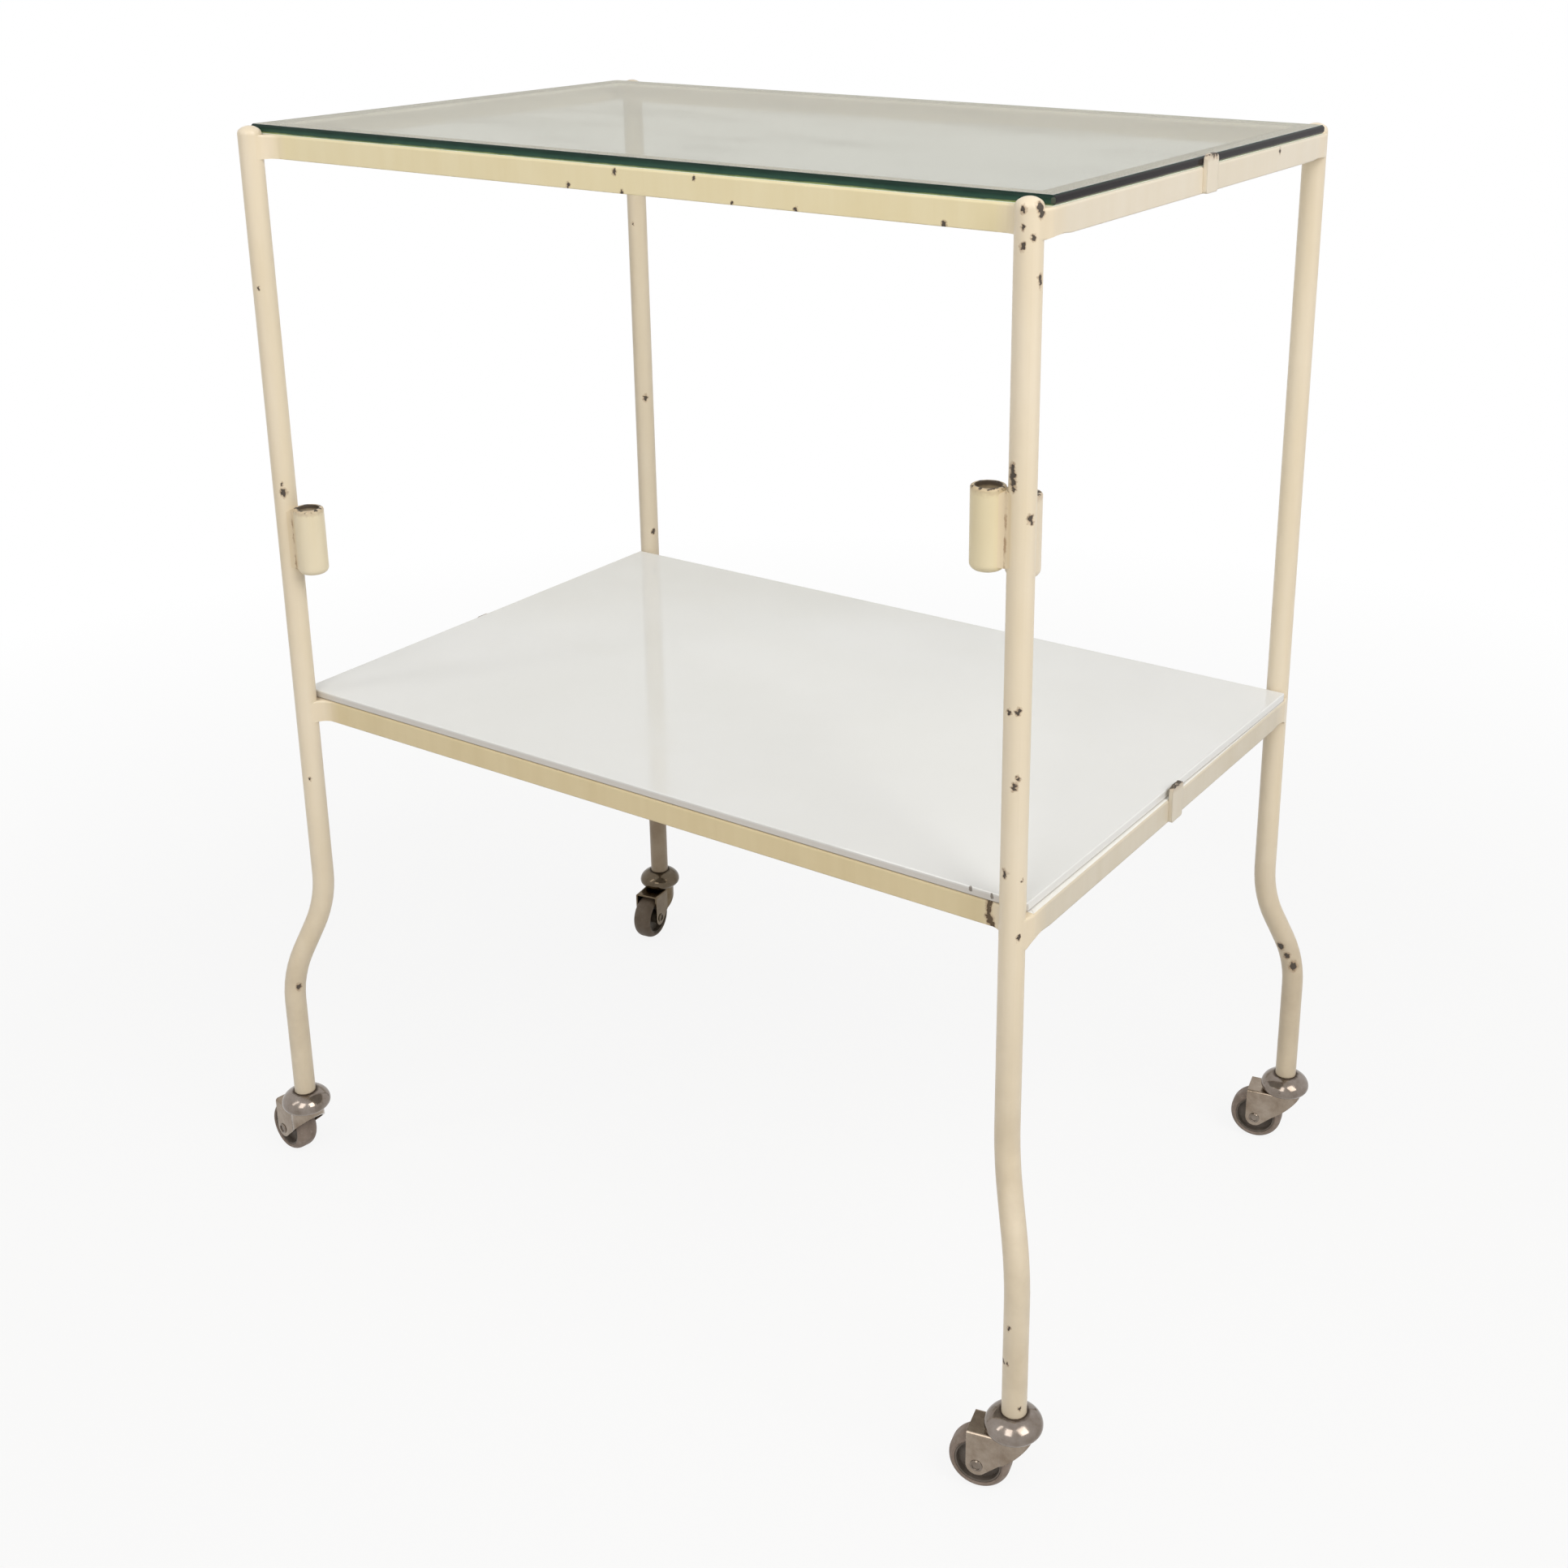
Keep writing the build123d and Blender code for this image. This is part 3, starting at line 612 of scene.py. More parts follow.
# tabs: how far their upper edges are rubbed; chips by place along, depth below the top and size, all in mm
tabSet = {
    "top_tab_left": {"rubbed": 0.6, "chips": ()},
    "top_tab_right": {"rubbed": 1.3, "chips": ((2.6, 0.8, 1.8), (6.6, 1.0, 1.5))},
    "shelf_tab_left": {"rubbed": 0.6, "chips": ()},
    "shelf_tab_right": {"rubbed": 1.6, "chips": ()},
}
tabWear = {"rubFrom": 0.42, "chipsIn": 0.64}
for name, spec in tabSet.items():
    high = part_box(name)[1]
    places = []
    for along, depth, size in spec["chips"]:
        place = (high[0] - tabWear["chipsIn"] * mm, along * mm, high[2] - depth * mm)
        places.append((place, size * mm))
    worn = high[2] - spec["rubbed"] * mm
    # the tabs take the right rail's painted light and shade
    tone = {**railLightAndShade[name.split("_")[0] + "_rail_right"], "rubFrom": tabWear["rubFrom"]}
    dress(name, enamel("tabEnamel_" + name, places, wornAbove=worn, onLeg=False, **tone))
print("tabs painted")

# sockets: the leg that each stands beside, its direction from there in degrees, radii in mm
# each socket's tone is painted light and shade: its cream is set lighter, darker or pinker by how the light
# falls on it
socketSet = {
    "rod_socket_left": {"leg": (-1, -1), "angle": 10.0, "radius": 10.7, "bore": 7.5,
                        "tone": {"cream": (0.83, 0.735, 0.555), "yellowed": (0.78, 0.67, 0.46)}},
    "rod_socket_right_front": {"leg": (1, -1), "angle": 195.0, "radius": 10.2, "bore": 7.6,
                               "tone": {"cream": (0.80, 0.70, 0.475), "yellowed": (0.75, 0.636, 0.40)}},
    "rod_socket_right_rear": {"leg": (1, -1), "angle": 115.5, "radius": 10.2, "bore": 7.6,
                              "tone": {"cream": (0.84, 0.745, 0.60), "yellowed": (0.80, 0.69, 0.52)}},
}
socketOffset = 19.2
socketWear = {"rubbed": 0.0012, "edgeShare": 0.25}
for name, spec in socketSet.items():
    axisX, axisY = legAxis(*spec["leg"])
    turn = math.radians(spec["angle"])
    axis = (axisX + socketOffset * mm * math.cos(turn), axisY + socketOffset * mm * math.sin(turn))
    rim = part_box(name)[1][2]
    hole = {"axis": axis, "radius": spec["bore"] * mm, "rim": rim}
    tone = {**spec["tone"], "edgeShare": socketWear["edgeShare"]}
    dress(name, enamel("socketEnamel_" + name, wornAbove=rim - socketWear["rubbed"], bore=hole, **tone))
print("sockets painted")

# weld skins: enamel over the welds, running smoothly from the legs on to rails and sockets
# sizes in mm; pairs of turns and lifts are degrees round the leg and the distance off the tube
skinSet = {
    "lift": 0.10,
    "sink": 0.06,
    "thickness": 0.4,
    "smoothUnder": 35.0,
    "rises": (0.0, 0.04, 0.09, 0.15, 0.22, 0.30, 0.45, 0.65, 0.85, 0.95, 1.0),
    "leg": legSet["radius"] / mm,
    "end": legSet["endFace"] / mm,
    "face": legSet["longFace"] / mm,
    "legTurns": ((34, -0.06), (28, 0.0), (21, 0.04), (13, 0.07)),
    "legRise": 2.0,
    "capTurns": (25, 50, 75, 90),
    "capRound": 1.6,
    "capDrop": 0.05,
    "capReach": 8.0,
    "chipsBelow": 6.0,
    "chipsAbove": 2.0,
}
outerSet = {
    "lastTurn": (5, 0.10),
    "places": (1.0, 2.5, 4.0, 5.5, 7.0, 8.2, 9.4, 11.0, 13.0, 15.5, 18.0, 20.2, 23.0),
    "thinOver": 10.0,
    "snipLength": 20.0,
    "snipHeight": 2.0,
    "tip": 20.2,
    "toe": 2.5,
    "hollow": 0.66,
    "footReach": 8.35,
    "footSink": 0.1,
    "dive": 0.16,
    "diveWithin": 2.0,
}
innerSet = {
    "lastTurn": (6, 0.09),
    "foot": 0.4,
    "footSteps": 4,
    "hollowMiddle": (-12.4, 6.2),
    "hollowEnd": -21.0,
    "steps": 9,
    "thin": 0.6,
    "tail": ((-23.0, 8.18), (-25.0, 8.22), (-27.0, 8.27)),
}
# the turns on leg and socket are in radians here, past the ends of the hollow
socketSkinSet = {
    "hollow": 3.4,
    "lift": 0.06,
    "steps": 8,
    "legTurns": ((0.22, -0.06), (0.14, 0.0), (0.07, 0.04)),
    "socketTurns": ((0.06, 0.04), (0.12, 0.0), (0.19, -0.06)),
    "aboveFoot": 2.7,
    "belowRim": 2.2,
    "drawnIn": 1.5,
    "rises": (0.0, 0.04, 0.10, 0.3, 0.5, 0.7, 0.90, 0.96, 1.0),
    "seam": (9.0, 9.8),
    # painted shade: the weld's cream is darkened in the hollow between the leg and the socket
    "tone": {"cream": (0.80, 0.69, 0.50), "yellowed": (0.74, 0.61, 0.42)},
}


def skinSheet(name, rows):
    # a grid bent to rows of points in mm, thickened inwards
    across = len(rows[0])
    bpy.ops.object.select_all(action="DESELECT")
    bpy.ops.mesh.primitive_grid_add(x_subdivisions=across - 1, y_subdivisions=len(rows) - 1, size=1)
    sheet = bpy.context.object
    sheet.name = name
    ordered = sorted(sheet.data.vertices, key=lambda vertex: (round(vertex.co.y, 4), vertex.co.x))
    for vertex, place in zip(ordered, [place for row in rows for place in row]):
        vertex.co = [part * mm for part in place]
    thick = sheet.modifiers.new("thickness", "SOLIDIFY")
    thick.thickness = skinSet["thickness"] * mm
    thick.offset = -1
    bpy.ops.object.modifier_apply(modifier=thick.name)
    bpy.ops.object.shade_smooth_by_angle(angle=math.radians(skinSet["smoothUnder"]))
    return sheet


def mirroredSkin(sheet, name, sides):
    # a copy of a front right skin, turned over to another corner
    bpy.ops.object.select_all(action="DESELECT")
    sheet.select_set(True)
    bpy.context.view_layer.objects.active = sheet
    bpy.ops.object.duplicate()
    copy = bpy.context.object
    copy.name = name
    bpy.ops.object.mode_set(mode="EDIT")
    bpy.ops.mesh.select_all(action="SELECT")
    bpy.ops.transform.resize(value=(sides[0], -sides[1], 1), center_override=(middleX, 0, 0))
    if sides[0] == sides[1]:
        bpy.ops.mesh.flip_normals()
    bpy.ops.object.mode_set(mode="OBJECT")
    return copy


def finishSkin(sheet, finish):
    coat(sheet, finish)
    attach(sheet, "frame")


def circleThrough(first, middle, last):
    (ax, ay), (bx, by), (cx, cy) = first, middle, last
    sides = 2 * (ax * (by - cy) + bx * (cy - ay) + cx * (ay - by))
    one, two, three = ax * ax + ay * ay, bx * bx + by * by, cx * cx + cy * cy
    centreX = (one * (by - cy) + two * (cy - ay) + three * (ay - by)) / sides
    centreY = (one * (cx - bx) + two * (ax - cx) + three * (bx - ax)) / sides
    return centreX, centreY, math.hypot(ax - centreX, ay - centreY)


def levelHeights(level):
    # top and foot of the rails and foot of the welds
    railLow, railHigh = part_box(f"{level}_rail_right")
    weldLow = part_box(f"{level}_rail_front")[0]
    return {"high": railHigh[2] / mm, "low": railLow[2] / mm, "foot": weldLow[2] / mm}


def legColumns(spec, lastTurn, side, foot, rise):
    # upright lines on a leg: place out, place along and height of the skin's lower border
    columns = []
    furthest = spec["legTurns"][0][0]
    for turn, lift in (*spec["legTurns"], lastTurn):
        reach = spec["leg"] + lift
        lean = math.radians(turn)
        border = foot + rise * (turn / furthest) ** 2
        columns.append((side * reach * math.cos(lean), -reach * math.sin(lean), border))
    return columns


def capSteps(spec):
    # how far in and up the skin goes over the rail's rounded top edge, and then flat inwards
    steps = []
    rise = spec["capRound"] - spec["capDrop"]
    for turn in spec["capTurns"]:
        lean = math.radians(turn)
        steps.append((spec["capRound"] * (1 - math.cos(lean)), rise * math.sin(lean)))
    return steps + [(spec["capReach"], rise)]


def snippedEdge(spec, low, along):
    # lower edge of the end rail, which slants up towards the leg
    return low + spec["snipHeight"] * (1 - (along - spec["face"]) / spec["snipLength"])


def outerSkin(spec, level):
    # from the leg's outer side on to the end rail; the borders dive under the metal
    low, foot = level["low"], level["foot"]
    high = level["high"] - spec["capRound"]
    tip = (spec["tip"], snippedEdge(spec, low, spec["tip"]))
    middle = (tip[0] - spec["hollow"] * (tip[0] - spec["toe"]), foot + spec["hollow"] * (tip[1] - foot))
    centreAlong, centreHigh, reach = circleThrough((spec["toe"], foot), middle, tip)
    legRise = low + spec["legRise"] - foot
    columns = legColumns(spec, spec["lastTurn"], 1, foot - spec["footSink"], legRise)
    for along in spec["places"]:
        share = min(1.0, along / spec["face"])
        thin = max(0.0, along - spec["face"]) / spec["thinOver"]
        out = spec["leg"] + (spec["end"] - spec["leg"]) * share + spec["lift"] * (1 - thin)
        border = foot
        if along > spec["tip"]:
            border = snippedEdge(spec, low, along)
        elif along > spec["toe"]:
            border = centreHigh + math.sqrt(reach ** 2 - (along - centreAlong) ** 2)
        columns.append((out, along, border - spec["sink"]))
    rows = []
    for rise in spec["rises"]:
        row = []
        for out, along, border in columns:
            height = border + (high - border) * rise
            lean = max(0.0, min(1.0, (height - foot) / (low - foot)))
            reachOut = spec["footReach"] + (spec["end"] - spec["footReach"]) * lean + spec["lift"]
            dive = spec["dive"] if rise == 0.0 and along < spec["diveWithin"] else 0.0
            row.append((min(out, reachOut) - dive, along, height))
        rows.append(row)
    # over the rounded top edge and inwards under the plate
    top = rows[-1]
    for drop, rise in capSteps(spec):
        rows.append([(out - drop, along, high + rise) for out, along, height in top])
    return rows


def innerSkin(spec, level):
    # from the leg's inner side through the hollow on to the long rail
    low = level["low"]
    high = level["high"] - spec["capRound"]
    start, end = (-spec["leg"], 0.0), (spec["hollowEnd"], spec["face"])
    centreOut, centreAlong, reach = circleThrough(end, spec["hollowMiddle"], start)
    legRise = spec["foot"] + spec["legRise"]
    columns = legColumns(spec, spec["lastTurn"], -1, low - spec["foot"], legRise)
    first, last = (math.atan2(along - centreAlong, out - centreOut) for out, along in (start, end))
    for step in range(1, spec["steps"] + 1):
        share = step / spec["steps"]
        turn = first + (last - first) * share
        shrunk = reach - spec["lift"] * (1 - spec["thin"] * share)
        border = low - spec["foot"] * max(0.0, 1 - step / spec["footSteps"]) ** 2
        columns.append((centreOut + shrunk * math.cos(turn), centreAlong + shrunk * math.sin(turn), border))
    columns += [(out, along, low) for out, along in spec["tail"]]
    rows = []
    for rise in spec["rises"]:
        rows.append([(out, along, border + (high - border) * rise) for out, along, border in columns])
    for drop, rise in capSteps(spec):
        rows.append([(out, along + drop, high + rise) for out, along, border in columns])
    return rows


def placedRows(rows, turnOver):
    # rows at the front right leg, in the shared frame
    axisX, axisY = legAxis(*cornerSides["front_right"])
    placed = [[(axisX / mm + out, axisY / mm + along, height) for out, along, height in row] for row in rows]
    return [row[::-1] for row in placed] if turnOver else placed


def hollowPlan(spec, reach):
    # the weld's hollow in plan, from the leg's axis towards the socket's and to one side
    leg, hollow = skinSet["leg"], spec["hollow"]
    centreOn = ((leg + hollow) ** 2 - (reach + hollow) ** 2 + socketOffset ** 2) / (2 * socketOffset)
    centreOff = math.sqrt((leg + hollow) ** 2 - centreOn ** 2)
    onLeg = math.atan2(centreOff, centreOn)
    onSocket = math.atan2(centreOff, centreOn - socketOffset)
    plan = []
    for more, lift in spec["legTurns"]:
        turn = onLeg + more
        plan.append(((leg + lift) * math.cos(turn), (leg + lift) * math.sin(turn)))
    for step in range(spec["steps"] + 1):
        turn = onLeg + math.pi + (onSocket - onLeg) * step / spec["steps"]
        shrunk = hollow - spec["lift"]
        plan.append((centreOn + shrunk * math.cos(turn), centreOff + shrunk * math.sin(turn)))
    for less, lift in spec["socketTurns"]:
        turn = onSocket - less
        plan.append((socketOffset + (reach + lift) * math.cos(turn), (reach + lift) * math.sin(turn)))
    return plan


def socketSkin(name, spec, side):
    # hollow weld between a leg and a socket, on one side of the line through their axes
    plan = hollowPlan(spec, spec["radius"])
    axisX, axisY = legAxis(*spec["leg"])
    turn = math.radians(spec["angle"])
    foot, rim = (corner[2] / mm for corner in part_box(name))
    low = foot + spec["aboveFoot"]
    high = rim - spec["belowRim"]
    rows = []
    for rise in spec["rises"]:
        row = []
        for index, (on, off) in enumerate(plan):
            # the weld is longest in the middle of the hollow
            inset = spec["drawnIn"] * (2 * index / (len(plan) - 1) - 1) ** 2
            height = low + inset + (high - low - 2 * inset) * rise
            placeX = axisX / mm + on * math.cos(turn) - side * off * math.sin(turn)
            placeY = axisY / mm + on * math.sin(turn) + side * off * math.cos(turn)
            row.append((placeX, placeY, height))
        rows.append(row[::-1] if side > 0 else row)
    return rows


def weldChips(rail, level):
    # chips of a rail, and those of its two legs that lie at its height
    side = rail.split("_")[-1]
    low = (level["low"] - skinSet["chipsBelow"]) * mm
    high = (level["high"] + skinSet["chipsAbove"]) * mm
    chips = list(railPlaces[rail])
    for corner in cornerSides:
        if side in corner.split("_"):
            chips += [chip for chip in legPlaces[corner] if low < chip[0][2] < high]
    return chips


def weldFinish(rail, level):
    # made once for each rail, with the rail's painted light and shade
    name = "weldEnamel_" + rail
    if name not in bpy.data.materials:
        enamel(name, weldChips(rail, level), onLeg=False, edgeReach=0.0, **railLightAndShade.get(rail, {}))
    return bpy.data.materials[name]


for level in ("top", "shelf"):
    heights = levelHeights(level)
    outerRows = placedRows(outerSkin({**skinSet, **outerSet}, heights), False)
    innerRows = placedRows(innerSkin({**skinSet, **innerSet}, heights), True)
    outer = skinSheet(f"weldSkin_{level}_outer_front_right", outerRows)
    inner = skinSheet(f"weldSkin_{level}_inner_front_right", innerRows)
    for corner, sides in cornerSides.items():
        depth, end = corner.split("_")
        for sheet, word, side in ((outer, "outer", end), (inner, "inner", depth)):
            if corner != "front_right":
                sheet = mirroredSkin(sheet, f"weldSkin_{level}_{word}_{corner}", sides)
            finishSkin(sheet, weldFinish(f"{level}_rail_{side}", heights))
# the socket welds get a painted shade line in the crease by the leg
socketSeam = [reach * mm for reach in socketSkinSet["seam"]]
socketWeld = enamel("weldEnamel_sockets", seam=socketSeam, edgeReach=0.0, **socketSkinSet["tone"])
for name, spec in socketSet.items():
    for side, word in ((-1, "right"), (1, "left")):
        rows = socketSkin(name, {**socketSkinSet, **spec}, side)
        finishSkin(skinSheet(f"weldSkin_{name}_{word}", rows), socketWeld)
print("weld skins laid on")

# clear plate, cut from a block with its edges taken off
clearPlateSet = {
    "corner": 0.0016,
    "arris": 0.0007,
    "arrisProfile": 0.6,
    "merge": 0.00001,
    "flatFrom": 0.9,
    "refraction": 1.5,
    "tint": (0.60, 0.62, 0.58, 1),
    "smear": {"scale": 9, "detail": 6, "rough": 0.65, "span": (0.42, 0.75), "stretch": (1, 2.4, 1)},
    "smearDull": (0.012, 0.07),
    "scratch": {"scale": 1, "detail": 2, "stretch": (30, 900, 1), "depth": 0.00001, "strength": 0.15},
    # painted shade and highlight on the ground edge: a dark line at the top, a pale line at the foot,
    # near-black ends and pale corners
    "edgeTopShade": (0.012, 0.030, 0.022),
    "edgeGreen": (0.038, 0.094, 0.066),
    "edgeLowHighlight": (0.36, 0.46, 0.20),
    "endShade": (0.016, 0.013, 0.014),
    "cornerHighlight": (0.065, 0.078, 0.058),
    "grinding": {"scale": 1, "detail": 4, "span": (0.3, 0.7), "stretch": (40, 40, 120)},
    "grindDepth": 0.0001,
    "grindStrength": 0.3,
    "wander": (-0.0005, 0.0005),
    "shadeLine": (0.0038, 0.0012),
    "highlightLine": (0.0014, 0.0004),
    "endSpan": (0.0013, 0.0007),
    "cornerSpan": (0.0005, 0.0002),
    "edgeShine": 0.08,
    "edgeDull": (0.12, 0.26),
}


def clearFaceFinish(spec):
    finish, tree, shader, point = newFinish("clearGlass")
    feed(tree, shader, Base_Color=spec["tint"], Transmission_Weight=1.0, IOR=spec["refraction"])
    feed(tree, shader, Roughness=clouds(tree, point, spec["smear"], spec["smearDull"]))
    feed(tree, shader, Normal=bumps(tree, point, spec["scratch"]))
    return finish


def clearEdgeFinish(spec, low, high):
    # green all round, the glass's own colour, with painted shade in a dark line above and a painted
    # highlight in a pale line below; painted shade makes the ends nearly black, and a pale painted highlight
    # lies on the corner facets
    finish, tree, shader, point = newFinish("groundGlassEdge")
    ground = noise(tree, point, spec["grinding"])
    span = spec["grinding"]["span"]
    rise = sums(tree, "ADD", heightOf(tree, point), limits(tree, ground, *span, *spec["wander"]))
    dark = limits(tree, rise, *(high.z - depth for depth in spec["shadeLine"]))
    pale = limits(tree, rise, *(low.z + depth for depth in spec["highlightLine"]))
    colour = tints(tree, dark, spec["edgeGreen"], spec["edgeTopShade"])
    colour = tints(tree, pale, colour, spec["edgeLowHighlight"])
    half = (high - low) / 2
    parts = addNode(tree, "SeparateXYZ", {0: folded(tree, point, (low + high) / 2)}).outputs
    atEnd = limits(tree, parts["X"], *(half.x - depth for depth in spec["endSpan"]))
    colour = tints(tree, atEnd, colour, spec["endShade"])
    furthest = half.x + half.y - spec["corner"]
    spread = sums(tree, "ADD", parts["X"], parts["Y"])
    atCorner = limits(tree, spread, *(furthest - depth for depth in spec["cornerSpan"]))
    colour = tints(tree, atCorner, colour, spec["cornerHighlight"])
    feed(tree, shader, Base_Color=colour, IOR=spec["refraction"], Specular_IOR_Level=spec["edgeShine"])
    # seen from inside the plate, the edge lets the light through
    feed(tree, shader, Transmission_Weight=addNode(tree, "NewGeometry").outputs["Backfacing"])
    feed(tree, shader, Roughness=limits(tree, ground, *span, *spec["edgeDull"]))
    feed(tree, shader, Normal=relief(tree, ground, spec["grindDepth"], spec["grindStrength"]))
    return finish


def addClearPlate(spec):
    low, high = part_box("top_glass")
    low, high = Vector(low), Vector(high)
    bpy.ops.object.select_all(action="DESELECT")
    bpy.ops.mesh.primitive_cube_add(size=1, location=(low + high) / 2)
    plate = bpy.context.object
    plate.name = "clearPlate"
    plate.scale = high - low
    bpy.ops.object.transform_apply(location=True, rotation=True, scale=True)
    bpy.ops.object.mode_set(mode="EDIT")
    bpy.ops.mesh.select_all(action="DESELECT")
    bpy.ops.object.mode_set(mode="OBJECT")
    # the four upright edges are cut back first, then every edge gets its small arris
    for edge in plate.data.edges:
        ends = [plate.data.vertices[index].co for index in edge.vertices]
        edge.select = abs(ends[0].z - ends[1].z) > mm
    bpy.ops.object.mode_set(mode="EDIT")
    bpy.ops.mesh.bevel(offset=spec["corner"], segments=1, affect="EDGES")
    bpy.ops.mesh.select_all(action="SELECT")
    arris = {"offset": spec["arris"], "segments": 2, "profile": spec["arrisProfile"]}
    bpy.ops.mesh.bevel(**arris, affect="EDGES", clamp_overlap=True)
    bpy.ops.mesh.select_all(action="SELECT")
    bpy.ops.mesh.remove_doubles(threshold=spec["merge"])
    bpy.ops.object.mode_set(mode="OBJECT")
    bpy.ops.object.shade_flat()
    plate.data.materials.append(clearFaceFinish(spec))
    plate.data.materials.append(clearEdgeFinish(spec, low, high))
    plate.visible_shadow = False  # clear glass hardly darkens what lies under it
    for face in plate.data.polygons:
        face.material_index = 0 if abs(face.normal.z) > spec["flatFrom"] else 1
    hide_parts("top_glass")
    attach(plate, "top_plate")


addClearPlate(clearPlateSet)
print("clear plate laid in")

# opal plate: white glass through and through, a little grey along its lower edges, with a painted contact
# shadow where it sits on the rails
# chips on its front edge by place along and depth below the top
opalSet = {
    "white": (0.83, 0.83, 0.82),
    "cloud": (0.80, 0.80, 0.78),
    "clouding": {"scale": 5, "detail": 5, "span": (0.35, 0.7)},
    "longRim": (0.0020, 0.0010),
    "endRim": (0.0063, 0.0053),
    "edge": (0.66, 0.63, 0.59),
    "edgeSpan": (0.0003, 0.0022),
    "endGrey": 0.1,
    # painted contact shadow along the foot of the edges
    "seat": (0.20, 0.15, 0.10),
    "seatSpan": (0.0050, 0.0057),
    "chip": (0.25, 0.22, 0.19),
    "chips": ((0.2771, 0.0014), (0.2921, 0.0024)),
    "chipSize": 0.0013,
    "chipsIn": 0.0002,
    "chipSpan": (0.8, 1.1),
    "torn": (420, 0.003),
    "refraction": 1.5,
    "smear": {"scale": 12, "detail": 6, "rough": 0.65, "span": (0.4, 0.75), "stretch": (1, 2, 1)},
    "smearDull": (0.06, 0.2),
    "waves": {"scale": 4, "detail": 2, "depth": 0.0004, "strength": 0.2},
}


def opalFinish(spec):
    finish, tree, shader, point = newFinish("opalGlass")
    low, high = (Vector(corner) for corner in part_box("shelf_glass"))
    half = (high - low) / 2
    white = tints(tree, clouds(tree, point, spec["clouding"]), spec["white"], spec["cloud"])
    # the long edges are greyer, and all get a painted brown contact shadow where they sit on the rails
    parts = addNode(tree, "SeparateXYZ", {0: folded(tree, point, (low + high) / 2)}).outputs
    longRim = limits(tree, parts["Y"], *(half.y - depth for depth in spec["longRim"]))
    endRim = limits(tree, parts["X"], *(half.x - depth for depth in spec["endRim"]))
    height = heightOf(tree, point)
    greyed = larger(tree, longRim, times(tree, endRim, spec["endGrey"]))
    under = limits(tree, height, *(high.z - depth for depth in spec["edgeSpan"]))
    white = tints(tree, times(tree, greyed, under), white, spec["edge"])
    rim = larger(tree, longRim, endRim)
    seat = limits(tree, height, *(high.z - depth for depth in spec["seatSpan"]))
    white = tints(tree, times(tree, rim, seat), white, spec["seat"])
    front = low.y + spec["chipsIn"]
    chips = [((along, front, high.z - depth), spec["chipSize"]) for along, depth in spec["chips"]]
    field = chipField(tree, ragged(tree, point, *spec["torn"]), chips, enamelSet["chipTall"])
    chipped = limits(tree, field, *spec["chipSpan"], 1, 0)
    feed(tree, shader, Base_Color=tints(tree, chipped, white, spec["chip"]), IOR=spec["refraction"])
    feed(tree, shader, Roughness=clouds(tree, point, spec["smear"], spec["smearDull"]))
    feed(tree, shader, Normal=bumps(tree, point, spec["waves"]))
    return finish


dress("shelf_glass", opalFinish(opalSet))
print("opal plate finished")

# casters: browned chrome over pressed sheet, grey-brown wheels
chromeSet = {
    "cloud": {"scale": 70, "detail": 6, "rough": 0.65, "span": (0.36, 0.68)},
    "pits": {"scale": 620, "detail": 3, "rough": 0.6, "span": (0.67, 0.78)},
    "pitShare": 0.7,
    "pitDull": 0.6,
    "pitDepth": 0.00006,
    "pitStrength": 0.6,
    "ringTorn": (300, 0.0008),
    "ringBelow": (0.00073, 0.00013),
    "ringShare": 0.9,
    "dull": {"scale": 160, "detail": 4, "span": (0.3, 0.7)},
    "gloss": (0.09, 0.22),
    "edgeReach": 0.0006,
    "dents": {"scale": 120, "detail": 2, "depth": 0.0002, "strength": 0.3},
}


def chromeFinish(name, colours):
    spec = chromeSet
    finish, tree, shader, point = newFinish(name)
    plate = tints(tree, clouds(tree, point, spec["cloud"]), colours["bright"], colours["brown"])
    pits = clouds(tree, point, spec["pits"], (0, spec["pitShare"]))
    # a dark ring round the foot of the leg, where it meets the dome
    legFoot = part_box("leg_front_right")[0][2]
    start, end = (legFoot - depth for depth in spec["ringBelow"])
    ringHeight = heightOf(tree, ragged(tree, point, *spec["ringTorn"]))
    pits = larger(tree, pits, limits(tree, ringHeight, start, end, 0, spec["ringShare"]))
    feed(tree, shader, Base_Color=tints(tree, pits, plate, colours["pit"]), Metallic=1.0)
    dull = clouds(tree, point, spec["dull"], spec["gloss"])
    feed(tree, shader, Roughness=larger(tree, dull, times(tree, pits, spec["pitDull"])))
    dents = bumps(tree, point, spec["dents"], rounded(tree, spec["edgeReach"]))
    cover = sums(tree, "SUBTRACT", 1.0, pits)
    feed(tree, shader, Normal=relief(tree, cover, spec["pitDepth"], spec["pitStrength"], dents))
    return finish


wheelSet = {
    "cloud": {"scale": 90, "detail": 6, "rough": 0.65, "span": (0.34, 0.68)},
    "scuffTorn": (300, 0.004),
    "scuffs": {"scale": 260, "detail": 3, "span": (0.60, 0.70)},
    "scuffShare": 0.5,
    "dull": (0.5, 0.72),
    "edgeReach": 0.0008,
    "pores": {"scale": 700, "detail": 4, "depth": 0.00012, "strength": 0.6},
}


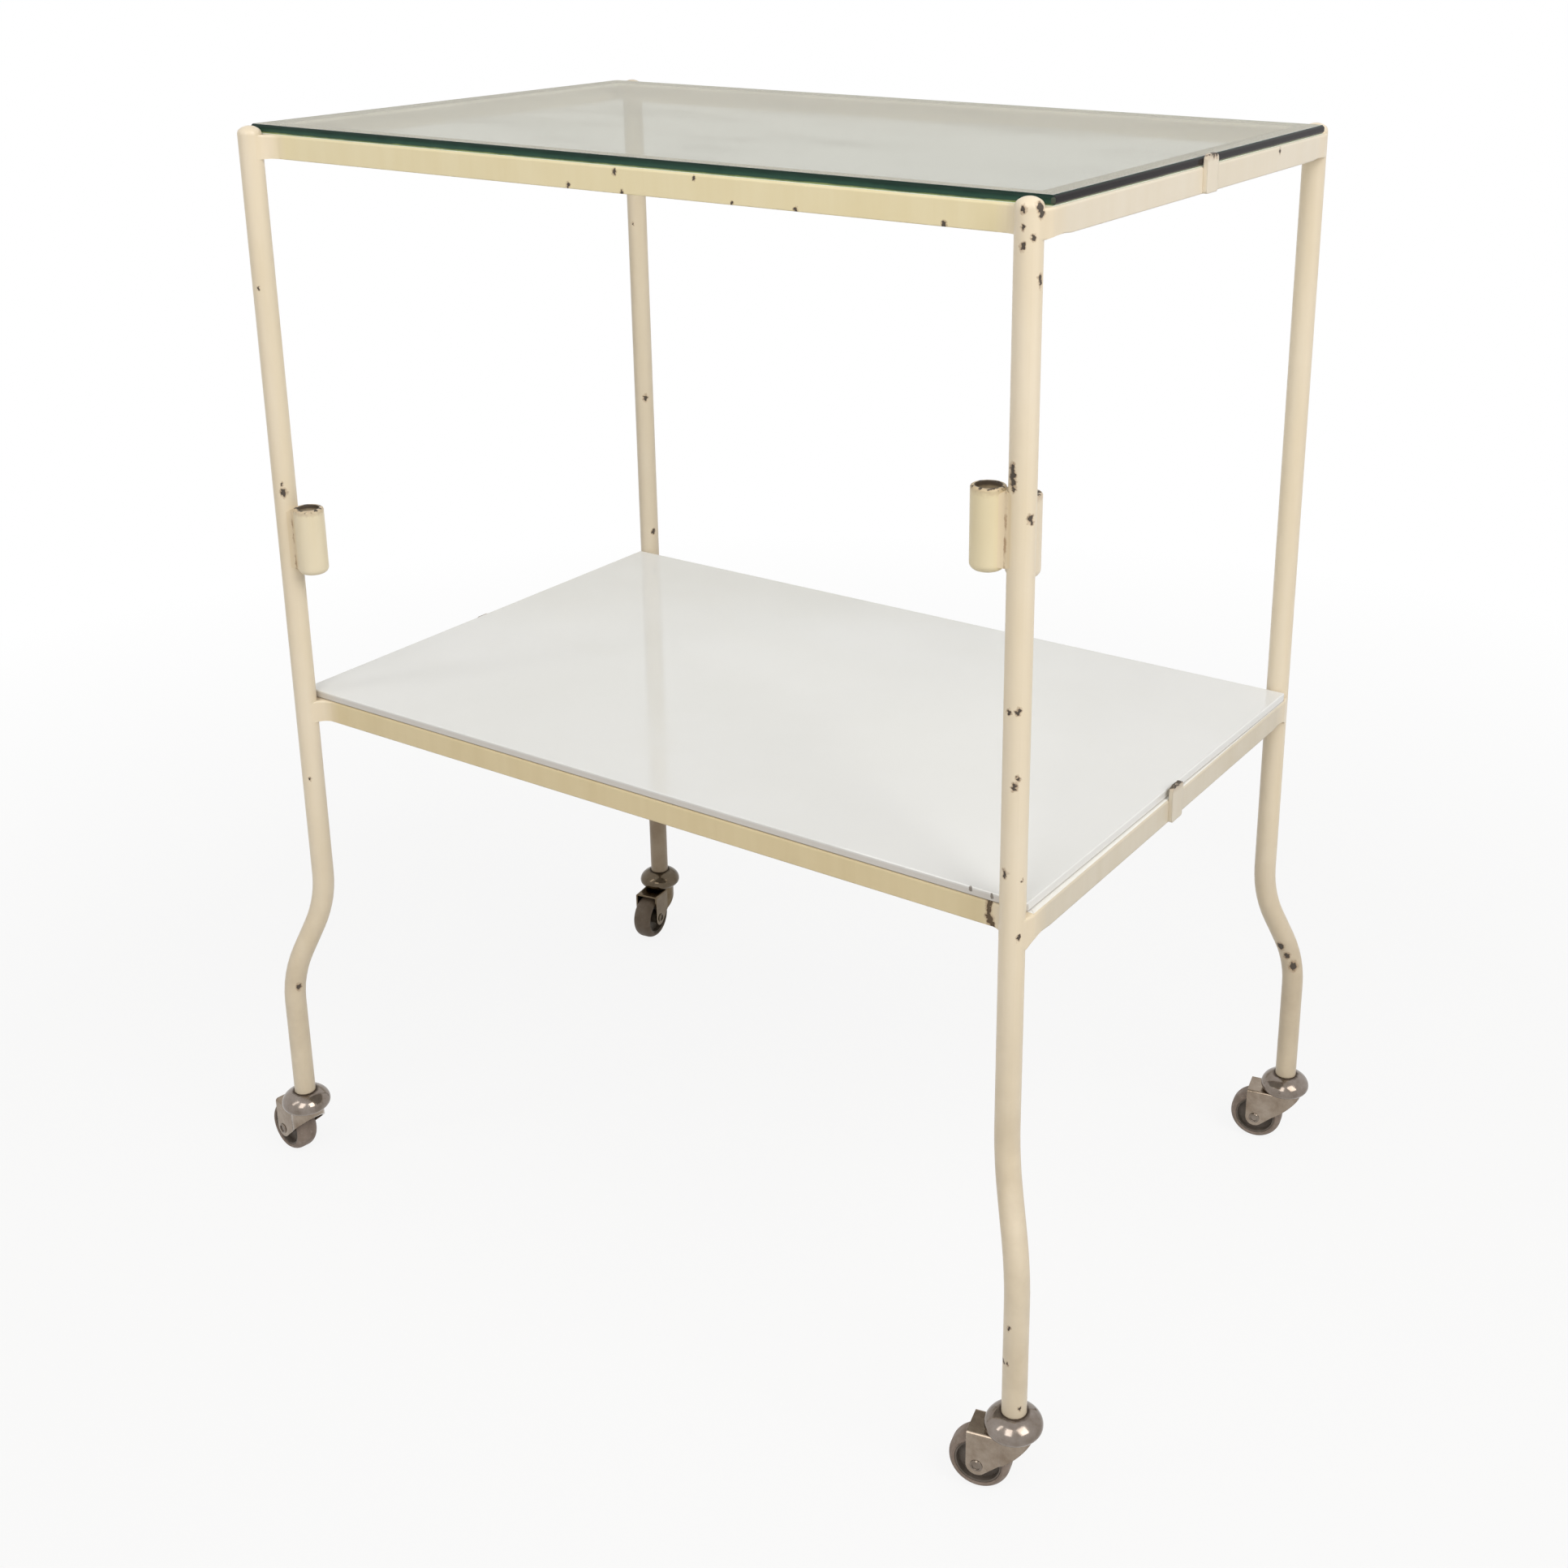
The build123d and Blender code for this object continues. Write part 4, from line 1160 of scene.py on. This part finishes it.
def wheelFinish(name, colours):
    spec = wheelSet
    finish, tree, shader, point = newFinish(name)
    cloud = clouds(tree, point, spec["cloud"])
    base = tints(tree, cloud, colours["grey"], colours["brown"])
    scuffs = clouds(tree, ragged(tree, point, *spec["scuffTorn"]), spec["scuffs"], (0, spec["scuffShare"]))
    feed(tree, shader, Base_Color=tints(tree, scuffs, base, colours["scuff"]))
    feed(tree, shader, Roughness=limits(tree, cloud, 0, 1, *spec["dull"]))
    feed(tree, shader, Normal=bumps(tree, point, spec["pores"], rounded(tree, spec["edgeReach"])))
    return finish


steelColours = {"bright": (0.50, 0.47, 0.43), "brown": (0.30, 0.26, 0.22), "pit": (0.06, 0.045, 0.035)}
casterSet = {
    "dome": {"make": chromeFinish, "word": "DomeChrome", "colours": {
        "bright": (0.30, 0.258, 0.228), "brown": (0.195, 0.156, 0.124), "pit": (0.06, 0.042, 0.030)}},
    "fork": {"make": chromeFinish, "word": "ForkChrome", "colours": {
        "bright": (0.37, 0.308, 0.248), "brown": (0.245, 0.188, 0.140), "pit": (0.06, 0.042, 0.030)}},
    "axle": {"make": chromeFinish, "word": "RivetSteel", "colours": {
        "bright": (0.26, 0.22, 0.185), "brown": (0.16, 0.125, 0.095), "pit": (0.05, 0.035, 0.025)}},
    "stem": {"make": chromeFinish, "word": "StemSteel", "colours": steelColours},
    "balls": {"make": chromeFinish, "word": "BallSteel", "colours": steelColours},
    "hub": {"make": wheelFinish, "word": "WheelCentre", "colours": {
        "grey": (0.18, 0.150, 0.125), "brown": (0.120, 0.097, 0.076), "scuff": (0.24, 0.205, 0.17)}},
    "tyre": {"make": wheelFinish, "word": "WheelTyre", "colours": {
        "grey": (0.285, 0.220, 0.180), "brown": (0.200, 0.152, 0.120), "scuff": (0.38, 0.34, 0.29)}},
}
# lit and shaded copies of the caster finishes: the rear left caster is darkened as painted shade
casterLightAndShade = {
    "worn": {"share": (0.95, 0.95, 0.95), "corners": ("front_left", "front_right", "rear_right")},
    "inShade": {"share": (0.45, 0.42, 0.34), "corners": ("rear_left",)},
}


def shadeDarkened(colours, share):
    # every colour of a finish, darkened by the same shares, as painted shade
    return {key: tuple(part * thin for part, thin in zip(value, share)) for key, value in colours.items()}


for tone, spec in casterLightAndShade.items():
    for kind, piece in casterSet.items():
        finish = piece["make"](tone + piece["word"], shadeDarkened(piece["colours"], spec["share"]))
        for corner in spec["corners"]:
            dress(f"caster_{kind}_{corner}", finish)
print("casters finished")
